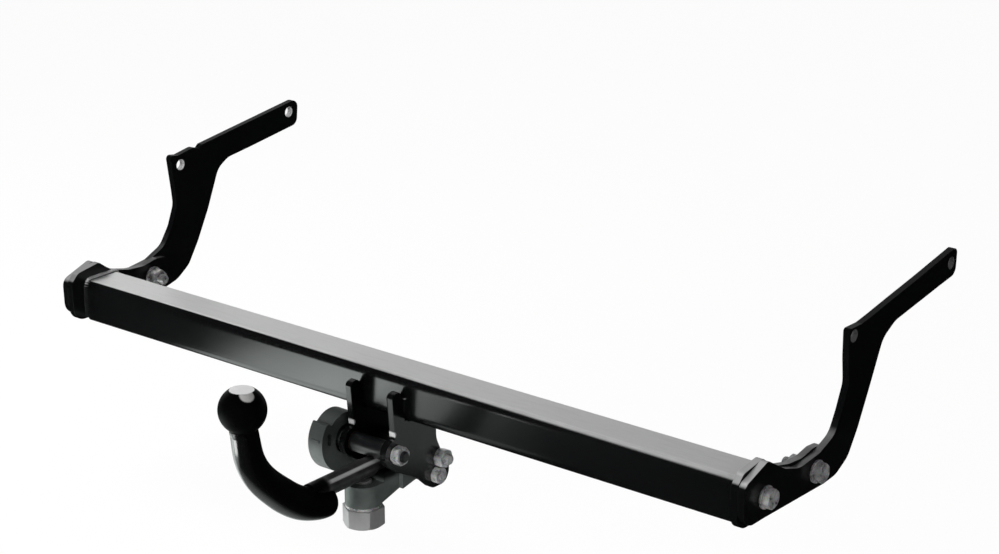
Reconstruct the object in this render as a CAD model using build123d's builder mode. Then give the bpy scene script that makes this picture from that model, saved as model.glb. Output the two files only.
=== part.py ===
"""Detachable swan-neck towbar: cross beam, two side arms, cheek bracket, clamp wheel and ball neck.

Millimetres. Origin at the centre of the coupling ball, X across the vehicle, +Y forwards to the
vehicle, Z up. Outlines of plates are lists of (y, z, corner radius) measured from the beam axis.
"""
import os
from math import atan2, degrees, sin, tan

from build123d import *

os.makedirs("parts", exist_ok=True)

# Cross beam: square tube, its axis seen from the ball centre
beam_y, beam_z = 233.0, -46.0
tube_size, tube_wall, tube_radius = 50.0, 4.0, 6.0
half_tube = tube_size / 2
overall_width = 950.0
weld_leg = 5.0

# Plates at the two ends
arm_thick, end_plate_thick = 8.0, 8.0
arm_foot = [(-12, -15.5, 30), (-45, -16, 17), (-46.5, 28.5, 11), (-6, 42.5, 7), (25, 24, 22)]
right_arm_outline = arm_foot + [
    (52, 15.5, 34), (88, 19.5, 16), (115, 30, 22), (127, 52, 30), (138, 77, 22), (135, 105, 60),
    (134.5, 135, 3.5), (158, 134.5, 12), (178, 137.5, 30), (216, 144, 60), (268, 152.5, 80),
    (346.5, 166.5, 6), (345, 136.5, 10), (312, 132, 60), (224, 119, 26), (201, 107, 26),
    (178, 60, 80), (159, 23, 40), (142, -3, 26), (120, -15, 30), (98, -17, 40),
]
left_arm_outline = arm_foot + [
    (50, 15.5, 34), (84, 19.5, 16), (110, 31, 22), (124.5, 52, 30), (134.5, 77, 22), (132.5, 95, 60),
    (126, 141, 4.5), (140, 138.5, 8), (165, 142.5, 6), (175.5, 139, 2), (180, 143, 3),
    (351.5, 165.5, 9), (348.5, 133, 10), (262, 121.5, 80), (224, 117, 24), (206.5, 107, 24),
    (186.5, 60, 80), (167, 23, 40), (150, -3, 26), (130, -16.5, 30), (108, -22, 40),
]
end_plate_outline = [
    (-45, -20.5, 16), (-46, 27, 9), (-36, 37, 9), (-3, 42, 7), (16, 27.5, 16), (44, 20.5, 40),
    (68, 18.5, 30), (88, 22.5, 20), (106, 21, 8), (112, 0, 14), (102, -17.5, 12), (40, -17, 30),
    (-12, -21, 30),
]
arm_hole_d = 12.5
arm_hole_corner = (143.0, 126.0)
arm_hole_tip = (334.0, 151.0)

# M12 bolts of the side arms
bolt_rear = (-9.5, 6.5)
bolt_front = (82.0, 2.0)
bolt_d, bolt_hole_d, bolt_len, bolt_tip = 12.0, 13.0, 40.0, 1.2
bolt_af, bolt_head_h, nut_h, bolt_turn = 19.0, 7.5, 10.8, 15.0
washer_d, washer_h = 24.0, 2.5

# Cheek plates of the neck bracket
cheek_gap, cheek_thick = 50.0, 8.0
cheek_boss_r = 17.0
horn_back, horn_tip = 20.0, 9.0
cheek_outline = [
    (-half_tube - horn_back, 9, 5), (-half_tube - horn_tip, 11.5, 6), (-half_tube, 1, 0),
    (-half_tube, -half_tube, 0), (half_tube + 1, -half_tube, 0), (26.5, -61, 24),
    (34, -77, 30), (49, -102, 13), (42.5, -118, 13), (19, -118, 14), (5, -105, 12), (-8, -96, 10),
    (-46, -75.5, 6), (-44, -66, 0), (-40.5, -42, 0),
]

# Clamp shaft: crosses both cheeks, its flat lets the shank pass at rest
clamp_axis = (-40.0, -58.0)
cam_d, cam_flat = 22.0, 8.4
left_journal_d, right_journal_d, journal_play = 16.0, 14.0, 0.05
left_bush_d, right_bush_d = 22.6, 18.0
running_gap = 0.35

# Hand wheel on the left end of the clamp shaft, stepped down over one sector that stands up at rest
wheel_d, wheel_width, wheel_offset = 75.0, 22.0, 5.6
step_depth, step_from, step_to, step_crest, step_root = 8.0, 20.0, 137.0, 4.5, 2.8
wheel_edge_in, wheel_edge_out = 7.0, 3.0
hub_recess_d, hub_recess_h, wheel_hub_d = 32.0, 8.0, 22.0
slot_y, slot_z, slot_long, slot_wide, slot_depth = -25.0, 5.5, 14.0, 6.5, 9.0
ridge_turn, ridge_height, ridge_wide, ridge_from, ridge_to = 171.0, 0.9, 2.6, 4.0, 17.0
wheel_screw_d, wheel_screw_len, wheel_screw_head_d, wheel_screw_head_h = 8.0, 14.0, 15.0, 4.5
cap_d, cap_lip, cap_h, cap_edge, cap_plug_h, cap_gap = 24.0, 2.0, 2.4, 1.2, 1.2, 0.3

# Receiver block between the cheeks, with the boss of the support screw
block_rear_width = 40.0
block_outline = [
    (-22, -60, 3), (20, -60, 8), (27, -76, 10), (43, -102, 9), (38.5, -113.5, 9), (20, -113.5, 9),
    (3, -102.5, 8), (-20, -107, 0), (-20, -82, 0), (-22, -82, 0),
]
boss_y, boss_d, boss_top, boss_bottom = -56.0, 40.0, -92.5, -117.0
cradle_rear, cradle_front, cradle_top, cradle_keel = -45.0, -18.0, -82.0, -106.6
bore_end_gap = 0.6

# Support screw under the boss
screw_d, screw_af, screw_head_h, screw_top, screw_tip, screw_turn = 20.0, 41.0, 21.5, -90.1, 1.5, 27.8
screw_washer_d, screw_washer_h, screw_washer_play = 40.0, 3.0, 0.5

# Bolts that tie block and cheeks
tie_bolt, tie_bolt_low = (31.0, -84.5), (25.0, -103.0)
low_d, low_af, low_head_h, low_nut_h, low_play = 10.0, 17.0, 6.3, 8.4, 0.5
flat_to_corner = 30.0
thread_end, low_thread_end, shaft_thread_end, shaft_nut_turn = 5.5, 1.5, 3.5, 8.0

# Ball, neck and shank
ball_d, ball_flat = 50.0, 21.4
neck_line = [
    (-232.6, 30.0), (-230.2, 12.0), (-226.8, -6.1), (-219.2, -23.6), (-207.5, -39.5),
    (-190.4, -56.2), (-171.5, -72.0), (-150.5, -84.9), (-134.0, -90.9), (-118.5, -93.5),
]
neck_top_d, neck_low_d, neck_full_at, neck_end_r = 28.5, 36.0, 0.62, 9.0
shank_z, shank_d, shank_play = -78.5, 22.0, 0.05
shank_rear, shank_tip, shank_chamfer = -142.0, 18.4, 2.5
key_w, key_h, key_rear, key_front, key_play, key_round = 6.0, 6.0, -20.0, 12.0, 0.3, 1.5

# Derived positions along X
arm_x = overall_width / 2 - arm_thick
plate_x = arm_x - end_plate_thick
cheek_in = cheek_gap / 2
cheek_out = cheek_in + cheek_thick
wheel_in = -cheek_out - wheel_offset
wheel_out = wheel_in - wheel_width
shank_axis_z = beam_z + shank_z


def outline(points):
    """Draw a closed outline with rounded corners; a radius gives way where the edges are short."""
    count = len(points)
    spots = [Vector(beam_y + p[0], beam_z + p[1]) for p in points]
    corners = []
    for i in range(count):
        here = spots[i]
        back, ahead = spots[i - 1] - here, spots[(i + 1) % count] - here
        if points[i][2] <= 0:
            corners.append((here, None, here))
            continue
        u, v = back.normalized(), ahead.normalized()
        half = atan2(abs(u.cross(v).Z), u.dot(v)) / 2
        cut = min(points[i][2] / tan(half), 0.49 * back.length, 0.49 * ahead.length)
        radius = cut * tan(half)
        middle = here + (u + v).normalized() * (radius / sin(half) - radius)
        corners.append((here + u * cut, middle, here + v * cut))
    for i in range(count):
        start, middle, end = corners[i]
        if middle is not None:
            ThreePointArc(start, middle, end)
        Line(end, corners[(i + 1) % count][0])


def spot(y, z):
    """Location in a YZ sketch of a point given from the beam axis."""
    return Location((beam_y + y, beam_z + z))


def hexagon(af, height, turn=0.0):
    """Hexagonal prism with both rims turned down, standing on the current location."""
    with BuildPart(mode=Mode.PRIVATE) as prism:
        with BuildSketch():
            RegularPolygon(af / 2, 6, major_radius=False, rotation=turn)
        extrude(amount=height)
        rim = 0.07 * af
        with BuildSketch(Plane.XZ) as turned:
            with BuildLine():
                Polyline((0, 0), (af / 2, 0), (af / 2 + 1.7 * rim, rim), (af / 2 + 1.7 * rim, height - rim),
                         (af / 2, height), (0, height), close=True)
            make_face()
        revolve(axis=Axis.Z, mode=Mode.INTERSECT)
    return prism.part


def across(x, y, z, towards=1):
    """Plane on a point given from the beam axis, its normal along +X or -X."""
    return Plane(origin=(x, beam_y + y, beam_z + z), x_dir=(0, 1, 0), z_dir=(towards, 0, 0))


# Cross beam
with BuildPart() as cross_beam:
    with BuildSketch(Plane.YZ) as tube_section:
        with Locations(spot(0, 0)):
            RectangleRounded(tube_size, tube_size, tube_radius)
            RectangleRounded(tube_size - 2 * tube_wall, tube_size - 2 * tube_wall,
                             max(tube_radius - tube_wall, 0.8), mode=Mode.SUBTRACT)
    extrude(amount=plate_x, both=True)
cross_beam.part.label = "cross_beam"
export_step(cross_beam.part, "parts/cross_beam.step")

# End plates, welded to the beam
with BuildPart() as end_plate_right:
    with BuildSketch(Plane.YZ.offset(plate_x)):
        with BuildLine():
            outline(end_plate_outline)
        make_face()
        with Locations(spot(*bolt_rear), spot(*bolt_front)):
            Circle(bolt_hole_d / 2, mode=Mode.SUBTRACT)
    extrude(amount=end_plate_thick)
end_plate_right.part.label = "end_plate_right"
export_step(end_plate_right.part, "parts/end_plate_right.step")

with BuildPart() as end_plate_left:
    with BuildSketch(Plane.YZ.offset(-plate_x)):
        with BuildLine():
            outline(end_plate_outline)
        make_face()
        with Locations(spot(*bolt_rear), spot(*bolt_front)):
            Circle(bolt_hole_d / 2, mode=Mode.SUBTRACT)
    extrude(amount=-end_plate_thick)
end_plate_left.part.label = "end_plate_left"
export_step(end_plate_left.part, "parts/end_plate_left.step")

# Side arms, bolted to the end plates
with BuildPart() as side_arm_right:
    with BuildSketch(Plane.YZ.offset(arm_x)):
        with BuildLine():
            outline(right_arm_outline)
        make_face()
        with Locations(spot(*bolt_rear), spot(*bolt_front)):
            Circle(bolt_hole_d / 2, mode=Mode.SUBTRACT)
        with Locations(spot(*arm_hole_corner), spot(*arm_hole_tip)):
            Circle(arm_hole_d / 2, mode=Mode.SUBTRACT)
    extrude(amount=arm_thick)
side_arm_right.part.label = "side_arm_right"
export_step(side_arm_right.part, "parts/side_arm_right.step")

with BuildPart() as side_arm_left:
    with BuildSketch(Plane.YZ.offset(-arm_x)):
        with BuildLine():
            outline(left_arm_outline)
        make_face()
        with Locations(spot(*bolt_rear), spot(*bolt_front)):
            Circle(bolt_hole_d / 2, mode=Mode.SUBTRACT)
        with Locations(spot(*arm_hole_corner), spot(*arm_hole_tip)):
            Circle(arm_hole_d / 2, mode=Mode.SUBTRACT)
    extrude(amount=-arm_thick)
side_arm_left.part.label = "side_arm_left"
export_step(side_arm_left.part, "parts/side_arm_left.step")

# Fasteners of the side arms: head outside, nut inside
head_x = arm_x + arm_thick + washer_h
with BuildPart() as arm_bolts:
    for y, z in (bolt_rear, bolt_front):
        with Locations(across(head_x, y, z)):
            add(hexagon(bolt_af, bolt_head_h, bolt_turn))
        with BuildSketch(across(head_x, y, z, -1)):
            Circle(bolt_d / 2)
        extrude(amount=bolt_len)
        chamfer(arm_bolts.edges().filter_by(GeomType.CIRCLE).sort_by(Axis.X)[0], length=bolt_tip)
    mirror(about=Plane.YZ)
arm_bolts.part.label = "arm_bolts"
export_step(arm_bolts.part, "parts/arm_bolts.step")

with BuildPart() as arm_washers:
    for x, y, z in ((head_x - washer_h, *bolt_rear), (head_x - washer_h, *bolt_front),
                    (plate_x - washer_h, *bolt_front)):
        with BuildSketch(across(x, y, z)):
            Circle(washer_d / 2)
            Circle(bolt_hole_d / 2, mode=Mode.SUBTRACT)
        extrude(amount=washer_h)
    mirror(about=Plane.YZ)
arm_washers.part.label = "arm_washers"
export_step(arm_washers.part, "parts/arm_washers.step")

with BuildPart() as arm_nuts:
    for x, y, z in ((plate_x - nut_h, *bolt_rear), (plate_x - washer_h - nut_h, *bolt_front)):
        with Locations(across(x, y, z)):
            add(hexagon(bolt_af, nut_h, bolt_turn))
        with BuildSketch(across(x, y, z)):
            Circle(bolt_d / 2)
        extrude(amount=nut_h, mode=Mode.SUBTRACT)
    mirror(about=Plane.YZ)
arm_nuts.part.label = "arm_nuts"
export_step(arm_nuts.part, "parts/arm_nuts.step")

# Weld beads between beam and end plates
with BuildPart() as beam_welds:
    with BuildSketch(across(plate_x, 0, 0, -1)):
        RectangleRounded(tube_size + 2 * weld_leg, tube_size + 2 * weld_leg, tube_radius + weld_leg)
    extrude(amount=weld_leg, taper=44)
    with BuildSketch(across(plate_x, 0, 0, -1)):
        RectangleRounded(tube_size, tube_size, tube_radius)
    extrude(amount=2 * weld_leg, mode=Mode.SUBTRACT)
    with BuildSketch(Plane.YZ.offset(plate_x)):
        with BuildLine():
            outline(end_plate_outline)
        make_face()
    extrude(amount=-2 * weld_leg, mode=Mode.INTERSECT)
    mirror(about=Plane.YZ)
beam_welds.part.label = "beam_welds"
export_step(beam_welds.part, "parts/beam_welds.step")

# Cheek plates with the rounded boss of the clamp shaft
with BuildPart() as cheek_right:
    with BuildSketch(Plane.YZ.offset(cheek_in)):
        with BuildLine():
            outline(cheek_outline)
        make_face()
        with Locations(spot(*clamp_axis)):
            Circle(cheek_boss_r)
            Circle(right_bush_d / 2, mode=Mode.SUBTRACT)
        with Locations(spot(*tie_bolt)):
            Circle(bolt_hole_d / 2, mode=Mode.SUBTRACT)
        with Locations(spot(*tie_bolt_low)):
            Circle(low_d / 2 + low_play, mode=Mode.SUBTRACT)
    extrude(amount=cheek_thick)
cheek_right.part.label = "cheek_right"
export_step(cheek_right.part, "parts/cheek_right.step")

with BuildPart() as cheek_left:
    with BuildSketch(Plane.YZ.offset(-cheek_in)):
        with BuildLine():
            outline(cheek_outline)
        make_face()
        with Locations(spot(*clamp_axis)):
            Circle(cheek_boss_r)
            Circle(left_bush_d / 2, mode=Mode.SUBTRACT)
        with Locations(spot(*tie_bolt)):
            Circle(bolt_hole_d / 2, mode=Mode.SUBTRACT)
        with Locations(spot(*tie_bolt_low)):
            Circle(low_d / 2 + low_play, mode=Mode.SUBTRACT)
    extrude(amount=-cheek_thick)
cheek_left.part.label = "cheek_left"
export_step(cheek_left.part, "parts/cheek_left.step")

# Weld beads between cheeks and beam: under the tube and up its rear face, on the outer sides
with BuildPart() as cheek_welds:
    with BuildSketch(Plane(origin=(cheek_out, beam_y - half_tube + tube_radius, beam_z - half_tube),
                           x_dir=(1, 0, 0), z_dir=(0, 1, 0))):
        with BuildLine():
            Polyline((0, 0), (weld_leg, 0), (0, weld_leg), close=True)
        make_face()
    extrude(amount=tube_size - 2 * tube_radius)
    with BuildSketch(Plane(origin=(cheek_out, beam_y - half_tube, beam_z - half_tube + tube_radius),
                           x_dir=(1, 0, 0), z_dir=(0, 0, 1))):
        with BuildLine():
            Polyline((0, 0), (weld_leg, 0), (0, -weld_leg), close=True)
        make_face()
    extrude(amount=half_tube - tube_radius)
    mirror(about=Plane.YZ)
cheek_welds.part.label = "cheek_welds"
export_step(cheek_welds.part, "parts/cheek_welds.step")

# Bushes of the clamp shaft
with BuildPart() as bush_right:
    with BuildSketch(across(cheek_in, *clamp_axis)):
        Circle(right_bush_d / 2)
        Circle(right_journal_d / 2 + journal_play, mode=Mode.SUBTRACT)
    extrude(amount=cheek_thick)
bush_right.part.label = "bush_right"
export_step(bush_right.part, "parts/bush_right.step")

with BuildPart() as bush_left:
    with BuildSketch(across(-cheek_out, *clamp_axis)):
        Circle(left_bush_d / 2)
        Circle(left_journal_d / 2 + journal_play, mode=Mode.SUBTRACT)
    extrude(amount=cheek_thick)
bush_left.part.label = "bush_left"
export_step(bush_left.part, "parts/bush_left.step")

# Receiver block: blind bore for the shank, open cradle behind it, boss for the support screw
with BuildPart() as receiver_block:
    with BuildSketch(Plane.YZ):
        with BuildLine():
            outline(block_outline)
        make_face()
    extrude(amount=cheek_in, both=True)
    with BuildSketch(Plane.YZ):
        with BuildLine():
            outline([(cradle_rear, cradle_top, 2), (cradle_front, cradle_top, 0),
                     (cradle_front, cradle_keel, 0), (boss_y, boss_bottom, 0),
                     (boss_y, boss_top, 0), (cradle_rear, boss_top, 0)])
        make_face()
    extrude(amount=block_rear_width / 2, both=True)
    with BuildSketch(Plane.XY.offset(beam_z + boss_bottom)):
        with Locations((0, beam_y + boss_y)):
            Circle(boss_d / 2)
    extrude(amount=boss_top - boss_bottom)
    with BuildSketch(Plane.XZ.offset(-(beam_y + shank_tip + bore_end_gap))):
        with Locations((0, shank_axis_z)):
            Circle(shank_d / 2 + shank_play)
        with Locations((-shank_d / 2, shank_axis_z)):
            Rectangle(key_w + 2 * key_play, key_h + 2 * key_play)
    extrude(amount=shank_tip - boss_y + boss_d, mode=Mode.SUBTRACT)
    with BuildSketch(Plane.XY.offset(beam_z + boss_bottom)):
        with Locations((0, beam_y + boss_y)):
            Circle(screw_d / 2)
    extrude(amount=boss_top - boss_bottom, mode=Mode.SUBTRACT)
    with BuildSketch(across(-cheek_in, 0, 0)):
        with Locations(tie_bolt):
            Circle(bolt_hole_d / 2)
        with Locations(tie_bolt_low):
            Circle(low_d / 2 + low_play)
    extrude(amount=cheek_gap, mode=Mode.SUBTRACT)
receiver_block.part.label = "receiver_block"
export_step(receiver_block.part, "parts/receiver_block.step")

# Support screw and its washer
screw_seat = beam_z + boss_bottom - screw_washer_h
with BuildPart() as support_screw:
    with Locations((0, beam_y + boss_y, screw_seat - screw_head_h)):
        add(hexagon(screw_af, screw_head_h, screw_turn))
    with BuildSketch(Plane.XY.offset(screw_seat)):
        with Locations((0, beam_y + boss_y)):
            Circle(screw_d / 2)
    extrude(amount=beam_z + screw_top - screw_seat)
    chamfer(support_screw.edges().filter_by(GeomType.CIRCLE).sort_by(Axis.Z)[-1], length=screw_tip)
support_screw.part.label = "support_screw"
export_step(support_screw.part, "parts/support_screw.step")

with BuildPart() as support_washer:
    with BuildSketch(Plane.XY.offset(screw_seat)):
        with Locations((0, beam_y + boss_y)):
            Circle(screw_washer_d / 2)
            Circle(screw_d / 2 + screw_washer_play, mode=Mode.SUBTRACT)
    extrude(amount=screw_washer_h)
support_washer.part.label = "support_washer"
export_step(support_washer.part, "parts/support_washer.step")

# Tie bolts through cheeks and block: head on the left, nut on the right
tie_turn = degrees(atan2(tie_bolt[1] - tie_bolt_low[1], tie_bolt[0] - tie_bolt_low[0])) + flat_to_corner
with BuildPart() as tie_bolt_upper:
    with Locations(across(-cheek_out, *tie_bolt, -1)):
        add(hexagon(bolt_af, bolt_head_h, 180 - tie_turn))
    with BuildSketch(across(-cheek_out, *tie_bolt)):
        Circle(bolt_d / 2)
    extrude(amount=2 * cheek_out + nut_h + thread_end)
    chamfer(tie_bolt_upper.edges().filter_by(GeomType.CIRCLE).sort_by(Axis.X)[-1], length=bolt_tip)
tie_bolt_upper.part.label = "tie_bolt_upper"
export_step(tie_bolt_upper.part, "parts/tie_bolt_upper.step")

with BuildPart() as tie_nut_upper:
    with Locations(across(cheek_out, *tie_bolt)):
        add(hexagon(bolt_af, nut_h, tie_turn))
    with BuildSketch(across(cheek_out, *tie_bolt)):
        Circle(bolt_d / 2)
    extrude(amount=nut_h, mode=Mode.SUBTRACT)
tie_nut_upper.part.label = "tie_nut_upper"
export_step(tie_nut_upper.part, "parts/tie_nut_upper.step")

with BuildPart() as tie_bolt_lower:
    with Locations(across(-cheek_out, *tie_bolt_low, -1)):
        add(hexagon(low_af, low_head_h, 180 - tie_turn))
    with BuildSketch(across(-cheek_out, *tie_bolt_low)):
        Circle(low_d / 2)
    extrude(amount=2 * cheek_out + low_nut_h + low_thread_end)
    chamfer(tie_bolt_lower.edges().filter_by(GeomType.CIRCLE).sort_by(Axis.X)[-1], length=bolt_tip)
tie_bolt_lower.part.label = "tie_bolt_lower"
export_step(tie_bolt_lower.part, "parts/tie_bolt_lower.step")

with BuildPart() as tie_nut_lower:
    with Locations(across(cheek_out, *tie_bolt_low)):
        add(hexagon(low_af, low_nut_h, tie_turn))
    with BuildSketch(across(cheek_out, *tie_bolt_low)):
        Circle(low_d / 2)
    extrude(amount=low_nut_h, mode=Mode.SUBTRACT)
tie_nut_lower.part.label = "tie_nut_lower"
export_step(tie_nut_lower.part, "parts/tie_nut_lower.step")

# Clamp shaft: flatted cam between the cheeks, two journals, thread for the nut on the right
cam_half = cheek_in - running_gap
shaft_left = wheel_out + cap_plug_h + cap_gap + wheel_screw_head_h
nut_face = cheek_out + running_gap
with BuildPart() as clamp_shaft:
    with BuildSketch(across(-cam_half, *clamp_axis)):
        Circle(cam_d / 2)
        with Locations((0, -cam_flat - cam_d / 2)):
            Rectangle(2 * cam_d, cam_d, mode=Mode.SUBTRACT)
    extrude(amount=2 * cam_half)
    with BuildSketch(across(-cam_half, *clamp_axis, -1)):
        Circle(left_journal_d / 2)
    extrude(amount=-cam_half - shaft_left)
    with BuildSketch(across(cam_half, *clamp_axis)):
        Circle(right_journal_d / 2)
    extrude(amount=nut_face - cam_half)
    with BuildSketch(across(nut_face, *clamp_axis)):
        Circle(bolt_d / 2)
    extrude(amount=nut_h + shaft_thread_end)
    chamfer(clamp_shaft.edges().filter_by(GeomType.CIRCLE).sort_by(Axis.X)[-1], length=bolt_tip)
    with BuildSketch(across(shaft_left, *clamp_axis)):
        Circle(wheel_screw_d / 2)
    extrude(amount=wheel_screw_len, mode=Mode.SUBTRACT)
clamp_shaft.part.label = "clamp_shaft"
export_step(clamp_shaft.part, "parts/clamp_shaft.step")

with BuildPart() as shaft_nut:
    with Locations(across(nut_face, *clamp_axis)):
        add(hexagon(bolt_af, nut_h, shaft_nut_turn))
    with BuildSketch(across(nut_face, *clamp_axis)):
        Circle(bolt_d / 2)
    extrude(amount=nut_h, mode=Mode.SUBTRACT)
shaft_nut.part.label = "shaft_nut"
export_step(shaft_nut.part, "parts/shaft_nut.step")

# Hand wheel: stepped rim with rounded edges and a mark ridge, sunk hub, slot in the face to the cheek
with BuildPart() as hand_wheel:
    with BuildSketch(across(wheel_in, *clamp_axis)):
        with BuildLine():
            rim = CenterArc((0, 0), wheel_d / 2, step_to, 360 + step_from - step_to)
            step = CenterArc((0, 0), wheel_d / 2 - step_depth, step_from, step_to - step_from)
            Line(rim @ 1, step @ 0)
            Line(step @ 1, rim @ 0)
        make_face()
    extrude(amount=-wheel_width)
    hub = Vector(wheel_in - wheel_width / 2, beam_y + clamp_axis[0], beam_z + clamp_axis[1])
    corners = hand_wheel.edges().filter_by(Axis.X).sort_by(lambda edge: (edge.center() - hub).length)
    fillet(corners[-2:], radius=step_crest)
    corners = hand_wheel.edges().filter_by(Axis.X).sort_by(lambda edge: (edge.center() - hub).length)
    fillet(corners[:2], radius=step_root)
    with BuildSketch(Plane(origin=(wheel_out, beam_y + clamp_axis[0], beam_z + clamp_axis[1]),
                           x_dir=(1, 0, 0), z_dir=(0, -1, 0))) as rim_section:
        with Locations((wheel_width / 2, wheel_d / 4)):
            Rectangle(wheel_width, wheel_d / 2)
        top = rim_section.vertices().group_by(Axis.Z)[-1].sort_by(Axis.X)
        fillet(top[0], radius=wheel_edge_out)
        fillet(top[-1], radius=wheel_edge_in)
    revolve(axis=Axis((0, beam_y + clamp_axis[0], beam_z + clamp_axis[1]), (1, 0, 0)), mode=Mode.INTERSECT)
    with BuildSketch(across(wheel_in - ridge_from, *clamp_axis)):
        with PolarLocations(wheel_d / 2, 1, start_angle=ridge_turn):
            Rectangle(2 * ridge_height, ridge_wide)
    extrude(amount=ridge_from - ridge_to)
    with BuildSketch(across(wheel_in, *clamp_axis)):
        Circle(hub_recess_d / 2)
    extrude(amount=-hub_recess_h, mode=Mode.SUBTRACT)
    with BuildSketch(across(wheel_in, *clamp_axis)):
        with Locations((slot_y, slot_z)):
            SlotOverall(slot_long, slot_wide, rotation=90)
    extrude(amount=-slot_depth, mode=Mode.SUBTRACT)
    with BuildSketch(across(-cheek_out - running_gap, *clamp_axis)):
        Circle(wheel_hub_d / 2)
    extrude(amount=running_gap - wheel_offset - hub_recess_h)
    with BuildSketch(across(shaft_left, *clamp_axis)):
        Circle(left_journal_d / 2)
    extrude(amount=wheel_width + wheel_offset, mode=Mode.SUBTRACT)
    with BuildSketch(across(wheel_out, *clamp_axis)):
        Circle(cap_d / 2)
    extrude(amount=shaft_left - wheel_out, mode=Mode.SUBTRACT)
hand_wheel.part.label = "hand_wheel"
export_step(hand_wheel.part, "parts/hand_wheel.step")

with BuildPart() as wheel_screw:
    with BuildSketch(across(shaft_left, *clamp_axis, -1)):
        Circle(wheel_screw_head_d / 2)
    extrude(amount=wheel_screw_head_h)
    with BuildSketch(across(shaft_left, *clamp_axis)):
        Circle(wheel_screw_d / 2)
    extrude(amount=wheel_screw_len)
wheel_screw.part.label = "wheel_screw"
export_step(wheel_screw.part, "parts/wheel_screw.step")

with BuildPart() as wheel_cap:
    with BuildSketch(across(wheel_out, *clamp_axis)):
        Circle(cap_d / 2)
    extrude(amount=cap_plug_h)
    with BuildSketch(across(wheel_out, *clamp_axis, -1)):
        Circle(cap_d / 2 + cap_lip)
    extrude(amount=cap_h)
    chamfer(wheel_cap.edges().filter_by(GeomType.CIRCLE).sort_by(Axis.X)[0], length=cap_edge)
wheel_cap.part.label = "wheel_cap"
export_step(wheel_cap.part, "parts/wheel_cap.step")

# Swan neck: ball with its flat, tapering bar along the bend, machined shank on top of its low end
with BuildPart() as swan_neck:
    with BuildLine(Plane.YZ) as bend:
        Spline(*[(beam_y + y, beam_z + z) for y, z in neck_line], tangents=[(0.06, -1.0), (1.0, 0.0)])
    for place in (0.0, neck_full_at / 2, neck_full_at, 1.0):
        with BuildSketch(Plane(bend.line @ place, z_dir=bend.line % place)):
            Circle((neck_top_d + (neck_low_d - neck_top_d) * min(1.0, place / neck_full_at)) / 2)
    sweep(path=bend.line, multisection=True)
    end_y, end_z = beam_y + neck_line[-1][0], beam_z + neck_line[-1][1]
    with BuildSketch(Plane.YZ):
        with BuildLine():
            Polyline((end_y, end_z + neck_low_d / 2), (end_y, end_z), (end_y + neck_end_r, end_z),
                     (end_y + neck_end_r, end_z + neck_low_d / 2 - neck_end_r))
            RadiusArc((end_y + neck_end_r, end_z + neck_low_d / 2 - neck_end_r),
                      (end_y, end_z + neck_low_d / 2), -neck_end_r)
        make_face()
    revolve(axis=Axis((0, end_y, end_z), (0, 1, 0)))
    Sphere(ball_d / 2)
    with BuildSketch(Plane.XY.offset(ball_flat)):
        Circle(ball_d)
    extrude(amount=ball_d, mode=Mode.SUBTRACT)
    with BuildSketch(Plane.XZ.offset(-(beam_y + shank_tip))):
        with Locations((0, shank_axis_z)):
            Circle(shank_d / 2)
    extrude(amount=shank_tip - shank_rear)
    chamfer(swan_neck.edges().filter_by(GeomType.CIRCLE).sort_by(Axis.Y)[-1], length=shank_chamfer)
    with BuildSketch(across(-shank_d, *clamp_axis)):
        Circle(cam_d / 2 + running_gap)
    extrude(amount=2 * shank_d, mode=Mode.SUBTRACT)
    with BuildSketch(Plane.XZ.offset(-(beam_y + key_front))):
        with Locations((-shank_d / 2, shank_axis_z)):
            Rectangle(key_w, key_h)
    extrude(amount=key_front - key_rear, mode=Mode.SUBTRACT)
swan_neck.part.label = "swan_neck"
export_step(swan_neck.part, "parts/swan_neck.step")

# Feather key of the shank
with BuildPart() as shank_key:
    with BuildSketch(Plane.XZ.offset(-(beam_y + key_front))):
        with Locations((-shank_d / 2, shank_axis_z)):
            Rectangle(key_w, key_h)
    extrude(amount=key_front - key_rear)
    fillet(shank_key.edges().filter_by(Axis.X), radius=key_round)
shank_key.part.label = "shank_key"
export_step(shank_key.part, "parts/shank_key.step")
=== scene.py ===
"""Detachable swan-neck towbar: dressed pieces, finishes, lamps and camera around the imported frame."""

from math import cos, pi, radians, sin, sqrt, tau

import bmesh
import bpy
import numpy as np
from bpy.props import FloatProperty, FloatVectorProperty, IntProperty, PointerProperty
from bpy.types import Operator, Panel, PropertyGroup
from mathutils import Euler, Matrix, Vector


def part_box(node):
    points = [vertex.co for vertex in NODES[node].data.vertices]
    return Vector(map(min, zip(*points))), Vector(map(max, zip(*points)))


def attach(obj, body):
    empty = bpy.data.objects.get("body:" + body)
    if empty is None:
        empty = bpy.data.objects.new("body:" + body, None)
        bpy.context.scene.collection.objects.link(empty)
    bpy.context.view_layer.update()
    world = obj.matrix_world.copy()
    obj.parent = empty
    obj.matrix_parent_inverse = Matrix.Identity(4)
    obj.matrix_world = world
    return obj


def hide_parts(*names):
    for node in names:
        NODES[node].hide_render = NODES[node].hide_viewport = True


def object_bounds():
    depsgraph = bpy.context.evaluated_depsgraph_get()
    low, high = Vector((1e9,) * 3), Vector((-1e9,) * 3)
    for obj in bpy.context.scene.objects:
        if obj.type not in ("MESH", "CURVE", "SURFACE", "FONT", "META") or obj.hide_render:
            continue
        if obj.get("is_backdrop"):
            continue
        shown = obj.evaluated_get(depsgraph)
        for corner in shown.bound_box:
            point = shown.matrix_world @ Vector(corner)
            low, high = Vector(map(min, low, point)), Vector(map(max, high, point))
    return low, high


bl_info = {
    "name": "Towbar Dresser",
    "version": (1, 0, 0),
    "blender": (4, 5, 0),
    "location": "3D View > Sidebar > Towbar",
    "description": "Dresses a detachable swan-neck towbar: plates, fasteners, welds, neck, wheel and studio",
    "category": "Object",
}

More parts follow.
